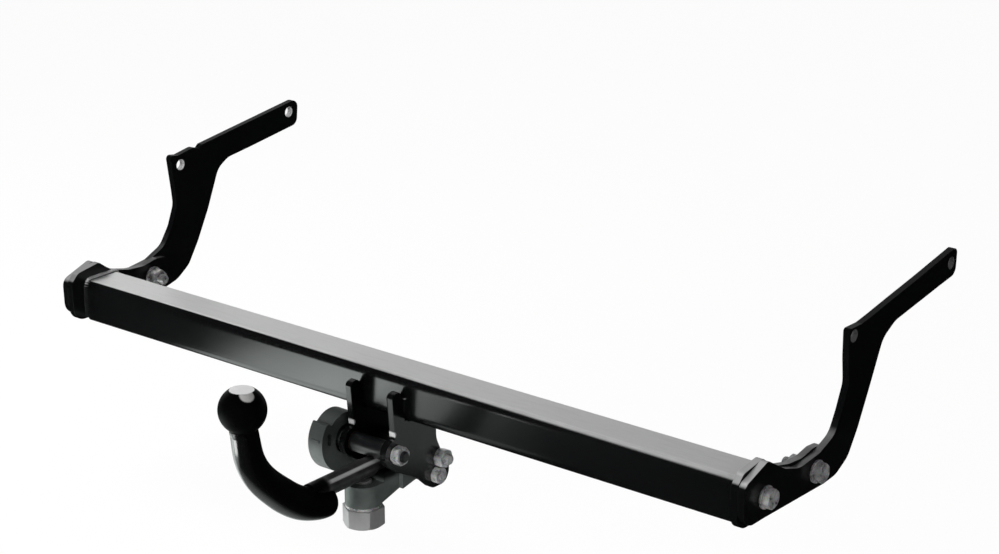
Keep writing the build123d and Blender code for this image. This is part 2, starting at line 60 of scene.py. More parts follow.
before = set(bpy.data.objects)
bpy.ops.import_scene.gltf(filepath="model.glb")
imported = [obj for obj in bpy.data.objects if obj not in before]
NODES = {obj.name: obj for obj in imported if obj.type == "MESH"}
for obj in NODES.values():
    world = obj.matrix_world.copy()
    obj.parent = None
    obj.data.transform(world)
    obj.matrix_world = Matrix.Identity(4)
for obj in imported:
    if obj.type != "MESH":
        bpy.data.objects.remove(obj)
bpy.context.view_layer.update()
MM = 0.001


def middle(node):
    """Middle of a node's box."""
    low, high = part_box(node)
    return (low + high) / 2


def span(node):
    """Size of a node's box."""
    low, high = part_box(node)
    return high - low


# Places that the frame gives
BEAM = middle("cross_beam")
CLAMP = middle("bush_right")
SCREW = middle("support_washer")
ARM_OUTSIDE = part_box("side_arm_right")[1].x
PLATE_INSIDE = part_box("end_plate_right")[0].x
CHEEK_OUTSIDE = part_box("cheek_right")[1].x
SCREW_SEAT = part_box("support_washer")[0].z
NUT_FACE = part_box("shaft_nut")[0].x

# Places of the fasteners, as y and z from the beam's axis, and the turns of their hexagons
BOLT_REAR, BOLT_FRONT = (-9.5 * MM, 6.5 * MM), (82 * MM, 2 * MM)
TIE_UPPER, TIE_LOWER = (31 * MM, -84.5 * MM), (25 * MM, -103 * MM)
TIE_TURN = radians(30) + np.arctan2(TIE_UPPER[1] - TIE_LOWER[1], TIE_UPPER[0] - TIE_LOWER[0])
BOLT_TURN, SHAFT_NUT_TURN, SCREW_TURN = radians(15), radians(8), radians(27.8)

# Lengths of threads, the gap above them, the tapers of the ends, and how far the tie bolts pass their nuts
ARM_THREAD, TIE_THREAD, SCREW_THREAD, THREAD_GAP = 24 * MM, 26 * MM, 20 * MM, 0.2 * MM
BOLT_TIP, SCREW_TIP = 1.2 * MM, 1.5 * MM
UPPER_REACH, LOWER_REACH = 5.5 * MM, 1.5 * MM

# Shape of a turned hexagon: how fast its rim falls away, the rounding of its corners, the step under
# its rim, the chamfer of a bore, and the radii of its flat faces as shares of the width across flats
RIM_SLOPE, CORNER_ROUND, RIM_STEP, BORE_CHAMFER = 1 / 1.7, 0.35 * MM, 0.05 * MM, 0.7 * MM
TOP_SHARE, RIM_SHARE, SEAT_SHARE = 0.36, 0.47, 0.475

# Shape of a thread: its depth as a share of its pitch, how sharp its crest is, and its rings in one turn
THREAD_SHARE, THREAD_POWER, THREAD_RINGS = 0.45, 1.3, 8

# Fine edges: the foot of a head, the rim of a washer and its slant, and the rounding of the rest
HEAD_FOOT, WASHER_RIM, WASHER_SLANT = 0.3 * MM, 0.35 * MM, 0.3
FASTENER_EDGE, SHANK_EDGE = 0.25 * MM, 0.3 * MM

# Counts of points round a bolt, a bar and a corner of the beam, and of rings along the neck
HEX_COUNT, ROUND_COUNT, CORNER_COUNT = 72, 96, 13
BALL_RINGS, COLLAR_RINGS, BAR_RINGS, END_RINGS = 34, 7, 120, 10

# Centre line of the neck's bar, as y and z from the beam's axis in millimetres, and its end slopes
NECK_LINE = [(-232.6, 30.0), (-230.2, 12.0), (-226.8, -6.1), (-219.2, -23.6), (-207.5, -39.5),
             (-190.4, -56.2), (-171.5, -72.0), (-150.5, -84.9), (-134.0, -90.9), (-118.5, -93.5)]
NECK_START, NECK_END = (0.06, -1.0), (1.0, 0.0)

# Rings of the disc on the ball's flat: how far inside the flat's edge, and how high over it
FLAT_RINGS = ((0.3 * MM, -MM), (0.2 * MM, 0), (0.5 * MM, 0.15 * MM))

# Shank: height of its axis, its two ends, its chamfer, and the radius and half length of its groove
SHANK_Z, SHANK_REAR, SHANK_TIP = BEAM.z - 78.5 * MM, BEAM.y - 142 * MM, BEAM.y + 18.4 * MM
SHANK_CHAMFER, GROOVE, GROOVE_REACH = 2.5 * MM, 11.35 * MM, 30 * MM

# Weld beads: heights of their ends from the beam's axis, points in one ripple, and the girth and the
# ripple depth of the cheeks' beads as shares of the others'
BEAD_FRONT, BEAD_REAR, CHEEK_BEAD_TOP, RIPPLE_POINTS = -14 * MM, -17 * MM, 1 * MM, 6
CHEEK_GIRTH, CHEEK_DEPTH = 0.7, 0.5

# Doubled points of a CAD mesh lie closer than this
MERGE = 2e-6


def measure(name, description, default, low=0, high=1):
    """Setting for a length between two limits."""
    return FloatProperty(name=name, description=description, default=default, min=low, max=high,
                         unit="LENGTH", subtype="DISTANCE")


def tone(name, description, *channels):
    """Setting for a colour."""
    return FloatVectorProperty(name=name, description=description, default=(*channels, 1), size=4,
                               subtype="COLOR", min=0, max=1)


def watts(name, description, default):
    """Setting for the power of a lamp."""
    return FloatProperty(name=name, description=description, default=default, unit="POWER")


class TowbarFinishes(PropertyGroup):
    """Colours of the finishes."""

    coat: tone("Powder coat", "Colour of the coated steel", 0.0022, 0.0024, 0.0026)
    block: tone("Block paint", "Colour of the receiver block", 0.165, 0.19, 0.178)
    neck: tone("Neck lacquer", "Colour of the neck and ball", 0.0009, 0.0009, 0.001)
    zinc: tone("Zinc plate", "Colour of bolts, nuts and washers", 0.72, 0.73, 0.74)
    steel: tone("Turned steel", "Colour of bare machined steel", 0.5, 0.5, 0.5)
    # The ball's flat is bare steel, made near white as a painted highlight
    bright: tone("Bright steel", "Colour of the ball's bare flat", 0.96, 0.96, 0.96)
    bronze: tone("Bush bronze", "Colour of the bushes", 0.48, 0.29, 0.12)
    wheel: tone("Wheel plastic", "Colour of the hand wheel", 0.12, 0.137, 0.13)
    cap: tone("Cap plastic", "Colour of the wheel's cap", 0.014, 0.015, 0.016)


class TowbarBeam(PropertyGroup):
    """Section of the cross beam."""

    corner_across: measure("Corner across", "Width of the beam's rounded corners", 6 * MM, 5 * MM, 12 * MM)
    corner_up: measure("Corner height", "Height of the beam's rounded corners", 11 * MM, 5 * MM, 12 * MM)
    wall: measure("Wall", "Thickness of the beam's wall", 4 * MM, MM, 4.5 * MM)


class TowbarPlates(PropertyGroup):
    """Edges of the cut plates, the block and the wheel."""

    arm_edge: measure("Arm edge", "Rounding of the arms' and end plates' edges", 1.5 * MM, high=3 * MM)
    cheek_edge: measure("Cheek edge", "Rounding of the cheeks' edges", 2.2 * MM, high=3 * MM)
    block_edge: measure("Block edge", "Rounding of the receiver block's edges", 1.0 * MM, high=3 * MM)
    wheel_edge: measure("Wheel edge", "Rounding of the hand wheel's sharp edges", 0.7 * MM, high=2 * MM)


class TowbarFasteners(PropertyGroup):
    """Sizes of bolts, nuts and washers."""

    bolt: measure("Bolt", "Diameter of the arm bolts and the upper tie bolt", 12 * MM)
    bolt_flats: measure("Bolt flats", "Width across flats of those bolts", 19 * MM)
    bolt_head: measure("Bolt head", "Height of those bolts' heads", 7.5 * MM)
    bolt_length: measure("Bolt length", "Length of an arm bolt under its head", 40 * MM)
    nut: measure("Nut", "Height of those bolts' nuts", 10.8 * MM)
    washer: measure("Washer", "Diameter of the arm bolts' washers", 24 * MM)
    washer_bore: measure("Washer bore", "Diameter of those washers' bores", 13 * MM)
    washer_height: measure("Washer height", "Thickness of those washers", 2.5 * MM)
    small_bolt: measure("Small bolt", "Diameter of the lower tie bolt", 10 * MM)
    small_flats: measure("Small bolt flats", "Width across flats of the lower tie bolt", 17 * MM)
    small_head: measure("Small bolt head", "Height of the lower tie bolt's head", 6.3 * MM)
    small_nut: measure("Small nut", "Height of the lower tie bolt's nut", 8.4 * MM)
    pitch: measure("Thread pitch", "Rise of the bolts' threads in one turn", 1.75 * MM)
    screw: measure("Support screw", "Diameter of the support screw", 20 * MM)
    screw_flats: measure("Support screw flats", "Width across flats of that screw", 41 * MM)
    screw_head: measure("Support screw head", "Height of that screw's head", 21.5 * MM)
    screw_pitch: measure("Support screw pitch", "Rise of that screw's thread in one turn", 2.5 * MM)
    seat: measure("Screw washer", "Diameter of the support screw's washer", 40 * MM)
    seat_bore: measure("Screw washer bore", "Diameter of that washer's bore", 21 * MM)
    seat_height: measure("Screw washer height", "Thickness of that washer", 3 * MM)


class TowbarWelds(PropertyGroup):
    """Shape of the weld beads."""

    bead: measure("Bead", "Radius of a weld bead", 3.6 * MM)
    ripple: measure("Ripple", "Length of one ripple of a bead", 2.6 * MM)
    depth: FloatProperty(name="Ripple depth", description="Depth of a ripple as a share of the radius",
                         default=0.16, min=0, max=0.5)
    around: IntProperty(name="Bead sides", description="Sides of a bead's section", default=16, min=6)


class TowbarNeck(PropertyGroup):
    """Sizes of the ball, the bar and the shank."""

    ball: measure("Ball", "Diameter of the coupling ball", span("swan_neck").x)
    flat: measure("Ball flat", "Height of the ball's flat above its centre", 21.4 * MM)
    collar: measure("Collar", "Radius of the hollow between ball and bar", 4 * MM)
    bar_top: measure("Bar at the ball", "Diameter of the bar under the ball", 28.5 * MM)
    bar_low: measure("Bar at its end", "Diameter of the bar at its low end", 36 * MM)
    full_at: FloatProperty(name="Full width at", description="Share of the bend where the bar is full width",
                           default=0.62, min=0.1, max=1)
    end_round: measure("End rounding", "Rounding of the bar's low end", 9 * MM)
    shank: measure("Shank", "Diameter of the machined shank", 22 * MM)


class TowbarStage(PropertyGroup):
    """Camera, lamps and floor."""

    camera_place: FloatVectorProperty(name="Camera place", description="Where the camera stands", size=3,
                                      unit="LENGTH", subtype="TRANSLATION", default=(1.6395, -1.6349, 0.9412))
    camera_turn: FloatVectorProperty(name="Camera turn", description="How the camera is turned", size=3,
                                     unit="ROTATION", subtype="EULER",
                                     default=(radians(90 - 19.192), 0, radians(38.724)))
    lens: FloatProperty(name="Lens", description="Focal length in millimetres", default=89.73, min=10)
    floor_drop: measure("Floor drop", "Gap between the lowest point and the floor", 60 * MM)
    side: watts("Side lamp", "Power of the low lamp on the left", 5.5)
    front: watts("Front lamp", "Power of the lamp behind the towbar's ball", 31)
    fill: watts("Fill lamp", "Power of the small lamp on the right", 1.3)
    glint: watts("Glint lamp", "Power of the small lamp mirrored in the neck", 0.024)
    top: watts("Top lamp", "Power of the lamp overhead", 26)
    panel: FloatProperty(name="Panel", description="Level of the pale wall that gloss mirrors", default=1.3)
    pool: FloatProperty(name="Pool", description="Level of the pool of light that gloss mirrors", default=2.0)
    plain: FloatProperty(name="Plain level", description="Level of the light from all around", default=0.12)


class TowbarSettings(PropertyGroup):
    """All the settings of the towbar."""

    finishes: PointerProperty(type=TowbarFinishes)
    beam: PointerProperty(type=TowbarBeam)
    plates: PointerProperty(type=TowbarPlates)
    fasteners: PointerProperty(type=TowbarFasteners)
    welds: PointerProperty(type=TowbarWelds)
    neck: PointerProperty(type=TowbarNeck)
    stage: PointerProperty(type=TowbarStage)


class Value:
    """An output of a node. Arithmetic on values adds Math nodes."""

    def __init__(self, bench, node, socket):
        self.bench, self.node, self.socket = bench, node, socket

    def __getitem__(self, name):
        return Value(self.bench, self.node, self.node.outputs[name])

    def __add__(self, other):
        return self.bench.maths("ADD", self, other)

    def __sub__(self, other):
        return self.bench.maths("SUBTRACT", self, other)

    def __rsub__(self, other):
        return self.bench.maths("SUBTRACT", other, self)

    def __mul__(self, other):
        return self.bench.maths("MULTIPLY", self, other)

    def __truediv__(self, other):
        return self.bench.maths("DIVIDE", self, other)

    def __rtruediv__(self, other):
        return self.bench.maths("DIVIDE", other, self)

    def __abs__(self):
        return self.bench.maths("ABSOLUTE", self)

    __radd__, __rmul__ = __add__, __mul__

    def between(self, low, high):
        """0 below low, 1 above high, and smooth from one to the other."""
        return self.bench.add("ShaderNodeMapRange", {"interpolation_type": "SMOOTHSTEP"},
                              {"Value": self, "From Min": low, "From Max": high})


class Bench:
    """Builds one node tree."""

    def __init__(self, tree):
        self.tree = tree

    def add(self, kind, settings=None, inputs=None, output=0):
        """Add a node: its settings first, then the values or links of its sockets."""
        node = self.tree.nodes.new(kind)
        for name, setting in (settings or {}).items():
            setattr(node, name, setting)
        for name, term in (inputs or {}).items():
            if isinstance(term, Value):
                self.tree.links.new(term.socket, node.inputs[name])
            else:
                node.inputs[name].default_value = term
        return Value(self, node, node.outputs[output]) if node.outputs else None

    def maths(self, operation, *terms):
        """Result of a Math node."""
        return self.add("ShaderNodeMath", {"operation": operation}, dict(enumerate(terms)))

    def mix(self, share, first, second):
        """Colour between two others."""
        return self.add("ShaderNodeMix", {"data_type": "RGBA"}, {0: share, 6: first, 7: second}, output=2)

    def shades(self, share, colour, low, high):
        """Colour between a darker and a lighter tint of one colour."""
        return self.mix(share, tinted(colour, low), tinted(colour, high))

    def noise(self, place, scale, detail=2.0):
        """Noise over a place, from 0 to 1."""
        return self.add("ShaderNodeTexNoise", None, {"Vector": place, "Scale": scale, "Detail": detail})

    def stretched(self, place, scale):
        """A place with each of its axes scaled."""
        return self.add("ShaderNodeVectorMath", {"operation": "MULTIPLY"}, {0: place, 1: scale})

    def distance(self, place, point):
        """Distance of a place from a point."""
        return self.add("ShaderNodeVectorMath", {"operation": "DISTANCE"}, {0: place, 1: point},
                        output="Value")

    def axes(self, vector):
        """X, Y and Z of a vector."""
        return self.add("ShaderNodeSeparateXYZ", None, {"Vector": vector})

    def normal(self):
        """X, Y and Z of the surface's normal."""
        return self.axes(self.add("ShaderNodeNewGeometry", output="Normal"))

    def bump(self, height, distance):
        """Normal of a surface with small relief."""
        return self.add("ShaderNodeBump", None, {"Height": height, "Distance": distance})


def empty_bench(holder):
    """Bench on the emptied node tree of a material or a world."""
    holder.use_nodes = True
    holder.node_tree.nodes.clear()
    return Bench(holder.node_tree)


def tinted(colour, share):
    """A colour made lighter or darker."""
    return tuple(min(1.0, channel * share) for channel in colour[:3]) + (1.0,)


def new_finish(name, recipe, *terms):
    """Material whose Principled shader gets its sockets from a recipe."""
    material = bpy.data.materials.get(name + "_finish")
    if material:
        return material
    material = bpy.data.materials.new(name + "_finish")
    bench = empty_bench(material)
    place = bench.add("ShaderNodeTexCoord", output="Object")
    surface = bench.add("ShaderNodeBsdfPrincipled", None, recipe(bench, place, *terms))
    bench.add("ShaderNodeOutputMaterial", None, {"Surface": surface})
    return material


# Painted light: a sheen on faces that look up, highlights on the arms' edges, holes, horns and the ball
PAINTED_TOP_SHEEN, PAINTED_EDGE_SHEEN = (0.52, 0.525, 0.52, 1), (0.45, 0.45, 0.45, 1)
HORN_HIGHLIGHT_PALE, BALL_HIGHLIGHT_GREY = (0.6, 0.6, 0.6, 1), (0.4, 0.4, 0.39, 1)

# Where the arms' coat changes: heights from the beam's axis where its gloss, its painted edge sheen and the
# beads' painted sheen end or start, and depths from that axis where that painted sheen thins out
GLOSS_END, SHEEN_END, BEAD_SHEEN = (24 * MM, 40 * MM), (40 * MM, 50 * MM), (16 * MM, 23 * MM)
SHEEN_REAR = (-5 * MM, 12 * MM)

# Holes of the arms, as y and z from the beam's axis, and the inner and outer radius of their bare walls,
# which get a painted highlight
ARM_HOLES, HOLE_WALL = ((143 * MM, 126 * MM), (334 * MM, 151 * MM)), (6.6 * MM, 7.0 * MM)

# Painted highlight under each horn, and its radii, and the gloss of the cheeks, which starts outside
HORN_HIGHLIGHT_SPOT, HORN_HIGHLIGHT_RADII = (0, BEAM.y - 42 * MM, BEAM.z - 36 * MM), (1.8 * MM, 4 * MM)
CHEEK_GLOSS = (CHEEK_OUTSIDE - 7.6 * MM, CHEEK_OUTSIDE - 6 * MM)

# Heights where the block turns black as painted shade, the wheel dark, and the neck's ball starts
BLOCK_SHADE = (BEAM.z - 92 * MM, BEAM.z - 84 * MM)
WHEEL_DARK = (CLAMP.z - 6 * MM, CLAMP.z + 18 * MM)
BALL_BASE = (-26 * MM, -20 * MM)

# Painted grey highlight beside the ball's flat, and its radii
BALL_HIGHLIGHT_SPOT, BALL_HIGHLIGHT_RADII = (13.1 * MM, -6 * MM, 20.5 * MM), (8 * MM, 10 * MM)

# Shank: depths where its lacquer ends, and half widths and side of its painted highlight stripe
SHANK_BARE = (BEAM.y - 120 * MM, BEAM.y - 110 * MM)
STRIPE_EDGE, STRIPE_SIDE = (1.5 * MM, 4.5 * MM), (0, 4 * MM)


def powder_coat(bench, place, colour):
    """Gloss black powder coat: fine orange peel, and a pale painted sheen on faces that look up, that spreads
    further on the right.
    """
    cloud = bench.noise(place, 14.0, 3.0)
    grain = bench.noise(place, 1400.0)
    peel = bench.noise(place, 420.0, 1.0)
    streaks = bench.noise(bench.stretched(place, (40.0, 500.0, 500.0)), 1.0, 3.0)
    drift = bench.axes(place)["X"].between(-0.5, 0.5)
    tilt = bench.normal()["Z"]
    up = tilt.between(0.8 - 0.5 * drift, 0.97 - 0.37 * drift)
    # Pale colour on faces that look up: a painted sheen
    painted_sheen = up * (0.7 + 0.3 * tilt.between(0.8, 0.97)) * (0.8 + 0.4 * streaks)
    return {"Base Color": bench.mix(painted_sheen, bench.shades(cloud, colour, 0.7, 1.5), PAINTED_TOP_SHEEN),
            "Roughness": 0.15 + 0.07 * cloud + 0.04 * grain + 0.2 * up,
            "Normal": bench.bump(peel, 0.03 * MM),
            "Coat Weight": (0.1 + 0.2 * cloud) * (1 - up), "Coat Roughness": 0.1, "IOR": 1.9}


def dull_coat(bench, place, colour, cloud, pale_share, pale):
    """Sockets of a dull powder coat with pale patches of painted highlight."""
    grain = bench.noise(place, 1400.0)
    return {"Base Color": bench.mix(pale_share, bench.shades(cloud, colour, 0.7, 1.5), pale),
            "Roughness": 0.45 + 0.1 * cloud + 0.05 * grain, "Normal": bench.bump(grain, 0.03 * MM),
            "Specular IOR Level": 0.12}


def arm_coat(bench, place, colour):
    """Powder coat of the arms: glossy at the beam, dull above, with painted highlights on edges and bare hole
    walls.
    """
    cloud = bench.noise(place, 20.0, 3.0)
    spot, tilt = bench.axes(place), bench.normal()["Z"]
    depth, height = spot["Y"] - BEAM.y, spot["Z"] - BEAM.z
    right = spot["X"].between(-0.1, 0.1)
    plates = abs(spot["X"]).between(PLATE_INSIDE - MM, PLATE_INSIDE)
    rear = 1 - (0.85 - 0.15 * right) * depth.between(*SHEEN_REAR)
    low = 1 - height.between(*SHEEN_END)
    # Upper rear edges of the plates and tops of the beads: painted highlight, stronger on the right arm
    edges = plates * low * rear * (0.5 + 0.5 * right) * tilt.between(0.45, 0.85)
    beads = (1 - plates) * height.between(*BEAD_SHEEN) * tilt.between(0.1, 0.5)
    painted_sheen = edges + beads
    pale = painted_sheen * (0.7 + 0.6 * cloud)
    flat = bench.stretched(place, (0, 1, 1))
    # Hole walls: bare steel lightened by a painted highlight, stronger on the left arm
    for y, z in ARM_HOLES:
        away = bench.distance(flat, (0, BEAM.y + y, BEAM.z + z))
        pale = pale + (0.8 - 0.6 * right) * (1 - away.between(*HOLE_WALL))
    glossy = plates * (1 - height.between(*GLOSS_END)) * (1 - painted_sheen)
    return {**dull_coat(bench, place, colour, cloud, pale, PAINTED_EDGE_SHEEN),
            "Coat Weight": 0.12 + 0.5 * glossy, "Coat Roughness": 0.18, "Coat IOR": 1.5}


def cheek_coat(bench, place, colour):
    """Powder coat of the cheeks: glossy outside, dull between them, with a painted highlight under each horn.
    """
    cloud = bench.noise(place, 30.0, 3.0)
    outer = abs(bench.axes(place)["X"]).between(*CHEEK_GLOSS)
    # Pale spot under each horn: a painted highlight
    horn_highlight = 1 - bench.distance(bench.stretched(place, (0, 1, 1)), HORN_HIGHLIGHT_SPOT).between(*HORN_HIGHLIGHT_RADII)
    return {**dull_coat(bench, place, colour, cloud, horn_highlight, HORN_HIGHLIGHT_PALE),
            "Coat Weight": outer * (0.8 + 0.2 * cloud), "Coat Roughness": 0.17, "Coat IOR": 1.95}


def block_paint(bench, place, colour, paint):
    """Thin satin paint over machined steel, pale on the boss, and black between the cheeks as painted shade.
    """
    cloud = bench.noise(place, 60.0, 3.0)
    grain = bench.noise(place, 1200.0)
    # Black above a height, between the cheeks: painted shade
    black = (bench.axes(place)["Z"] + 5 * MM * cloud).between(*BLOCK_SHADE)
    return {"Base Color": bench.mix(black, bench.shades(cloud, colour, 0.6, 1.5), paint),
            "Roughness": 0.3 + 0.15 * cloud + 0.05 * grain + 0.2 * black, "Metallic": 0.5 * (1 - black),
            "Normal": bench.bump(grain, 0.04 * MM)}


def shaft_coat(bench, place, colour):
    """Satin black of the clamp shaft, rubbed a little."""
    cloud = bench.noise(place, 90.0, 3.0)
    grain = bench.noise(place, 1500.0)
    return {"Base Color": bench.shades(cloud, colour, 2.0, 6.0),
            "Roughness": 0.24 + 0.14 * cloud + 0.05 * grain, "Normal": bench.bump(grain, 0.03 * MM),
            "IOR": 2.2}


def neck_lacquer(bench, place, colour):
    """Black lacquer over a forging: dull on the ball, above and on the right, with a painted grey highlight
    beside the flat.
    """
    cloud = bench.noise(place, 30.0, 3.0)
    waves = bench.noise(place, 90.0, 1.0)
    grain = bench.noise(place, 900.0, 1.0)
    ball = bench.axes(place)["Z"].between(*BALL_BASE)
    # Grey spot beside the flat: a painted highlight
    painted_highlight = 1 - (bench.distance(place, BALL_HIGHLIGHT_SPOT) + 3 * MM * cloud).between(*BALL_HIGHLIGHT_RADII)
    normal = bench.normal()
    shiny = (1 - ball) * (1 - normal["Z"].between(0.1, 0.5)) * (1 - normal["X"].between(0.6, 0.9))
    return {"Base Color": bench.mix(painted_highlight, bench.shades(cloud, colour, 0.7, 1.6), BALL_HIGHLIGHT_GREY),
            "Roughness": 0.5 + 0.1 * cloud, "Specular IOR Level": 0.1,
            "Normal": bench.bump(waves + 0.12 * grain, 0.06 * MM),
            "Coat Weight": shiny, "Coat Roughness": 0.17, "Coat IOR": 2.4}


def zinc_plate(bench, place, colour):
    """Zinc plating: cloudy crystals and dull spots."""
    crystals = bench.add("ShaderNodeTexVoronoi", None, {"Vector": place, "Scale": 900.0}, output="Color")
    cloud = bench.noise(place, 130.0, 3.0).between(0.3, 0.7)
    shade = bench.mix(0.2, bench.shades(cloud, colour, 0.45, 1.8), crystals)
    return {"Base Color": bench.mix(0.12, shade, tinted(colour, 1.0)),
            "Roughness": 0.24 + 0.2 * cloud, "Metallic": 0.55,
            "Normal": bench.bump(bench.noise(place, 2600.0), 0.02 * MM)}


def turned_steel(bench, place, colour, along):
    """Bare steel from the lathe: fine rings across the axis of turning."""
    scale = tuple(5200.0 if axis == along else 60.0 for axis in "XYZ")
    rings = bench.noise(bench.stretched(place, scale), 1.0)
    cloud = bench.noise(place, 70.0, 3.0)
    return {"Base Color": bench.shades(cloud, colour, 0.75, 1.2),
            "Roughness": 0.22 + 0.14 * rings + 0.08 * cloud, "Metallic": 0.55,
            "Normal": bench.bump(rings, 0.012 * MM)}


def shank_steel(bench, place, colour, paint):
    """Turned steel of the shank: a painted highlight stripe beside its top, and lacquer over its rear end."""
    steel = turned_steel(bench, place, colour, "Y")
    spot, cloud = bench.axes(place), bench.noise(place, 120.0)
    bare = (spot["Y"] + 4 * MM * cloud).between(*SHANK_BARE)
    across = abs(spot["X"] - spot["Z"] + SHANK_Z)
    # Pale stripe beside the top: a painted highlight
    painted_stripe = bare * (1 - across.between(*STRIPE_EDGE)) * spot["X"].between(*STRIPE_SIDE)
    painted_highlight = bench.mix(painted_stripe, bench.shades(cloud, colour, 0.2, 0.5), tinted(colour, 1.7))
    steel["Base Color"] = bench.mix(bare, paint, painted_highlight)
    steel["Metallic"] = 0.85 * bare - 0.5 * painted_stripe
    return steel


def bush_bronze(bench, place, colour):
    """Sintered bronze with small dark pores."""
    pores = bench.noise(place, 2200.0).between(0.36, 0.5)
    return {"Base Color": bench.shades(pores, colour, 0.35, 1.1),
            "Roughness": 0.32 + 0.2 * bench.noise(place, 200.0), "Metallic": 0.9,
            "Normal": bench.bump(pores, 0.02 * MM)}


def moulded_plastic(bench, place, colour):
    """Moulded plastic with a leathery grain and worn, paler clouds."""
    grain = bench.noise(place, 1500.0, 3.0)
    cloud = bench.noise(place, 55.0, 3.0)
    return {"Base Color": bench.shades(cloud, colour, 0.75, 1.35),
            "Roughness": 0.3 + 0.14 * cloud + 0.06 * grain,
            "Normal": bench.bump(grain, 0.05 * MM)}


def wheel_plastic(bench, place, colour):
    """Moulded plastic of the hand wheel, darker towards the top."""
    plastic = moulded_plastic(bench, place, colour)
    dark = (bench.axes(place)["Z"] + 14 * MM * bench.noise(place, 45.0, 3.0)).between(*WHEEL_DARK)
    plastic["Base Color"] = bench.mix(dark, plastic["Base Color"], tinted(colour, 0.35))
    return plastic


def finish_named(name):
    """The material of a finish."""
    tones = bpy.context.scene.towbar.finishes
    recipes = {"black_coat": (powder_coat, tones.coat), "neck_coat": (neck_lacquer, tones.neck),
               "arm_coat": (arm_coat, tones.coat), "cheek_coat": (cheek_coat, tones.coat),
               "block_coat": (block_paint, tones.block, tones.coat), "shaft_coat": (shaft_coat, tones.coat),
               "shank_steel": (shank_steel, tones.steel, tones.neck),
               "zinc": (zinc_plate, tones.zinc), "bronze": (bush_bronze, tones.bronze),
               "steel_along_y": (turned_steel, tones.steel, "Y"),
               "steel_along_z": (turned_steel, tones.steel, "Z"),
               "flat_steel": (turned_steel, tones.bright, "Z"),
               "wheel_plastic": (wheel_plastic, tones.wheel), "cap_plastic": (moulded_plastic, tones.cap)}
    return new_finish(name, *recipes[name])


def linked(name, data):
    """New object in the scene."""
    piece = bpy.data.objects.new(name, data)
    bpy.context.scene.collection.objects.link(piece)
    return piece


def from_points(name, points, faces, edges=()):
    """Object from points and faces; the faces of a closed shape are turned outwards."""
    mesh = bpy.data.meshes.new(name)
    mesh.from_pydata([tuple(point) for point in points], list(edges), faces)
    if faces:
        work = bmesh.new()
        work.from_mesh(mesh)
        bmesh.ops.recalc_face_normals(work, faces=work.faces)
        work.to_mesh(mesh)
        work.free()
    return linked(name, mesh)


def from_rings(name, rings, joined=False):
    """Closed skin over rings with equally many points; joined rings close on the first one."""
    count = len(rings[0])
    points = [point for ring in rings for point in ring]
    steps = len(rings) if joined else len(rings) - 1
    faces = []
    for step in range(steps):
        here, there = step * count, ((step + 1) % len(rings)) * count
        for i in range(count):
            ahead = (i + 1) % count
            faces.append((here + i, here + ahead, there + ahead, there + i))
    if not joined:
        faces.append(tuple(range(count)))
        faces.append(tuple(range(steps * count, (steps + 1) * count)))
    return from_points(name, points, faces)


def ring(count, shape):
    """Ring of points round the Z axis, with the radius and height that a shape gives at each angle."""
    points = []
    for i in range(count):
        angle = tau * i / count
        radius, height = shape(angle)
        points.append(Vector((radius * cos(angle), radius * sin(angle), height)))
    return points


def circle(radius, height, count=HEX_COUNT):
    """Round ring."""
    return ring(count, lambda angle: (radius, height))


def hexagon(flats, height, fall):
    """Ring on six flats, lowered or raised towards the corners by the turned rim."""

    def shape(angle):
        off = angle % (pi / 3) - pi / 6
        radius = min(flats / 2 / cos(off), flats / 2 / cos(pi / 6) - CORNER_ROUND)
        return radius, height - fall * (radius - flats / 2) * RIM_SLOPE

    return ring(HEX_COUNT, shape)


def thread_ring(diameter, pitch, height):
    """Ring that a level cut through a screw thread shows."""

    def shape(angle):
        phase = (height / pitch - angle / tau) % 1.0
        return diameter / 2 - THREAD_SHARE * pitch * abs(2 * phase - 1) ** THREAD_POWER, height

    return ring(HEX_COUNT, shape)


def thread(diameter, pitch, low, high):
    """Rings of a screw thread from high down to low."""
    steps = max(2, round((high - low) / pitch * THREAD_RINGS))
    return [thread_ring(diameter, pitch, height) for height in np.linspace(high, low, steps + 1)]


def bolt_shape(flats, head, diameter, length, pitch, threaded, tip):
    """Bolt with its head above the XY plane and its thread below."""
    r = diameter / 2
    rings = [circle(TOP_SHARE * flats, head), circle(RIM_SHARE * flats, head),
             hexagon(flats, head - RIM_STEP, 1), hexagon(flats, HEAD_FOOT, 0),
             circle(SEAT_SHARE * flats, 0), circle(r, 0), circle(r, threaded - length)]
    rings += thread(diameter, pitch, tip - length, threaded - length - THREAD_GAP)
    rings += [circle(r - tip, -length)]
    return from_rings("bolt", rings)


def nut_shape(flats, height, bore):
    """Nut on the XY plane with both rims turned down."""
    r, wide = bore / 2, bore / 2 + BORE_CHAMFER
    rings = [circle(r, BORE_CHAMFER), circle(wide, 0), circle(RIM_SHARE * flats, 0),
             hexagon(flats, RIM_STEP, -1), hexagon(flats, height - RIM_STEP, 1),
             circle(RIM_SHARE * flats, height), circle(wide, height), circle(r, height - BORE_CHAMFER)]
    return from_rings("nut", rings, joined=True)


def washer_shape(diameter, bore, height):
    """Washer on the XY plane with rounded rims."""
    r, edge, slant = diameter / 2, WASHER_RIM, WASHER_SLANT * WASHER_RIM
    rings = [circle(bore / 2, 0), circle(r - edge, 0), circle(r - slant, slant), circle(r, edge),
             circle(r, height - edge), circle(r - slant, height - slant),
             circle(r - edge, height), circle(bore / 2, height)]
    return from_rings("washer", rings, joined=True)


def settled(piece):
    """The piece with its modifiers worked into its mesh."""
    bpy.context.view_layer.update()
    solid = piece.evaluated_get(bpy.context.evaluated_depsgraph_get())
    mesh = bpy.data.meshes.new_from_object(solid)
    piece.modifiers.clear()
    piece.data = mesh
    return piece


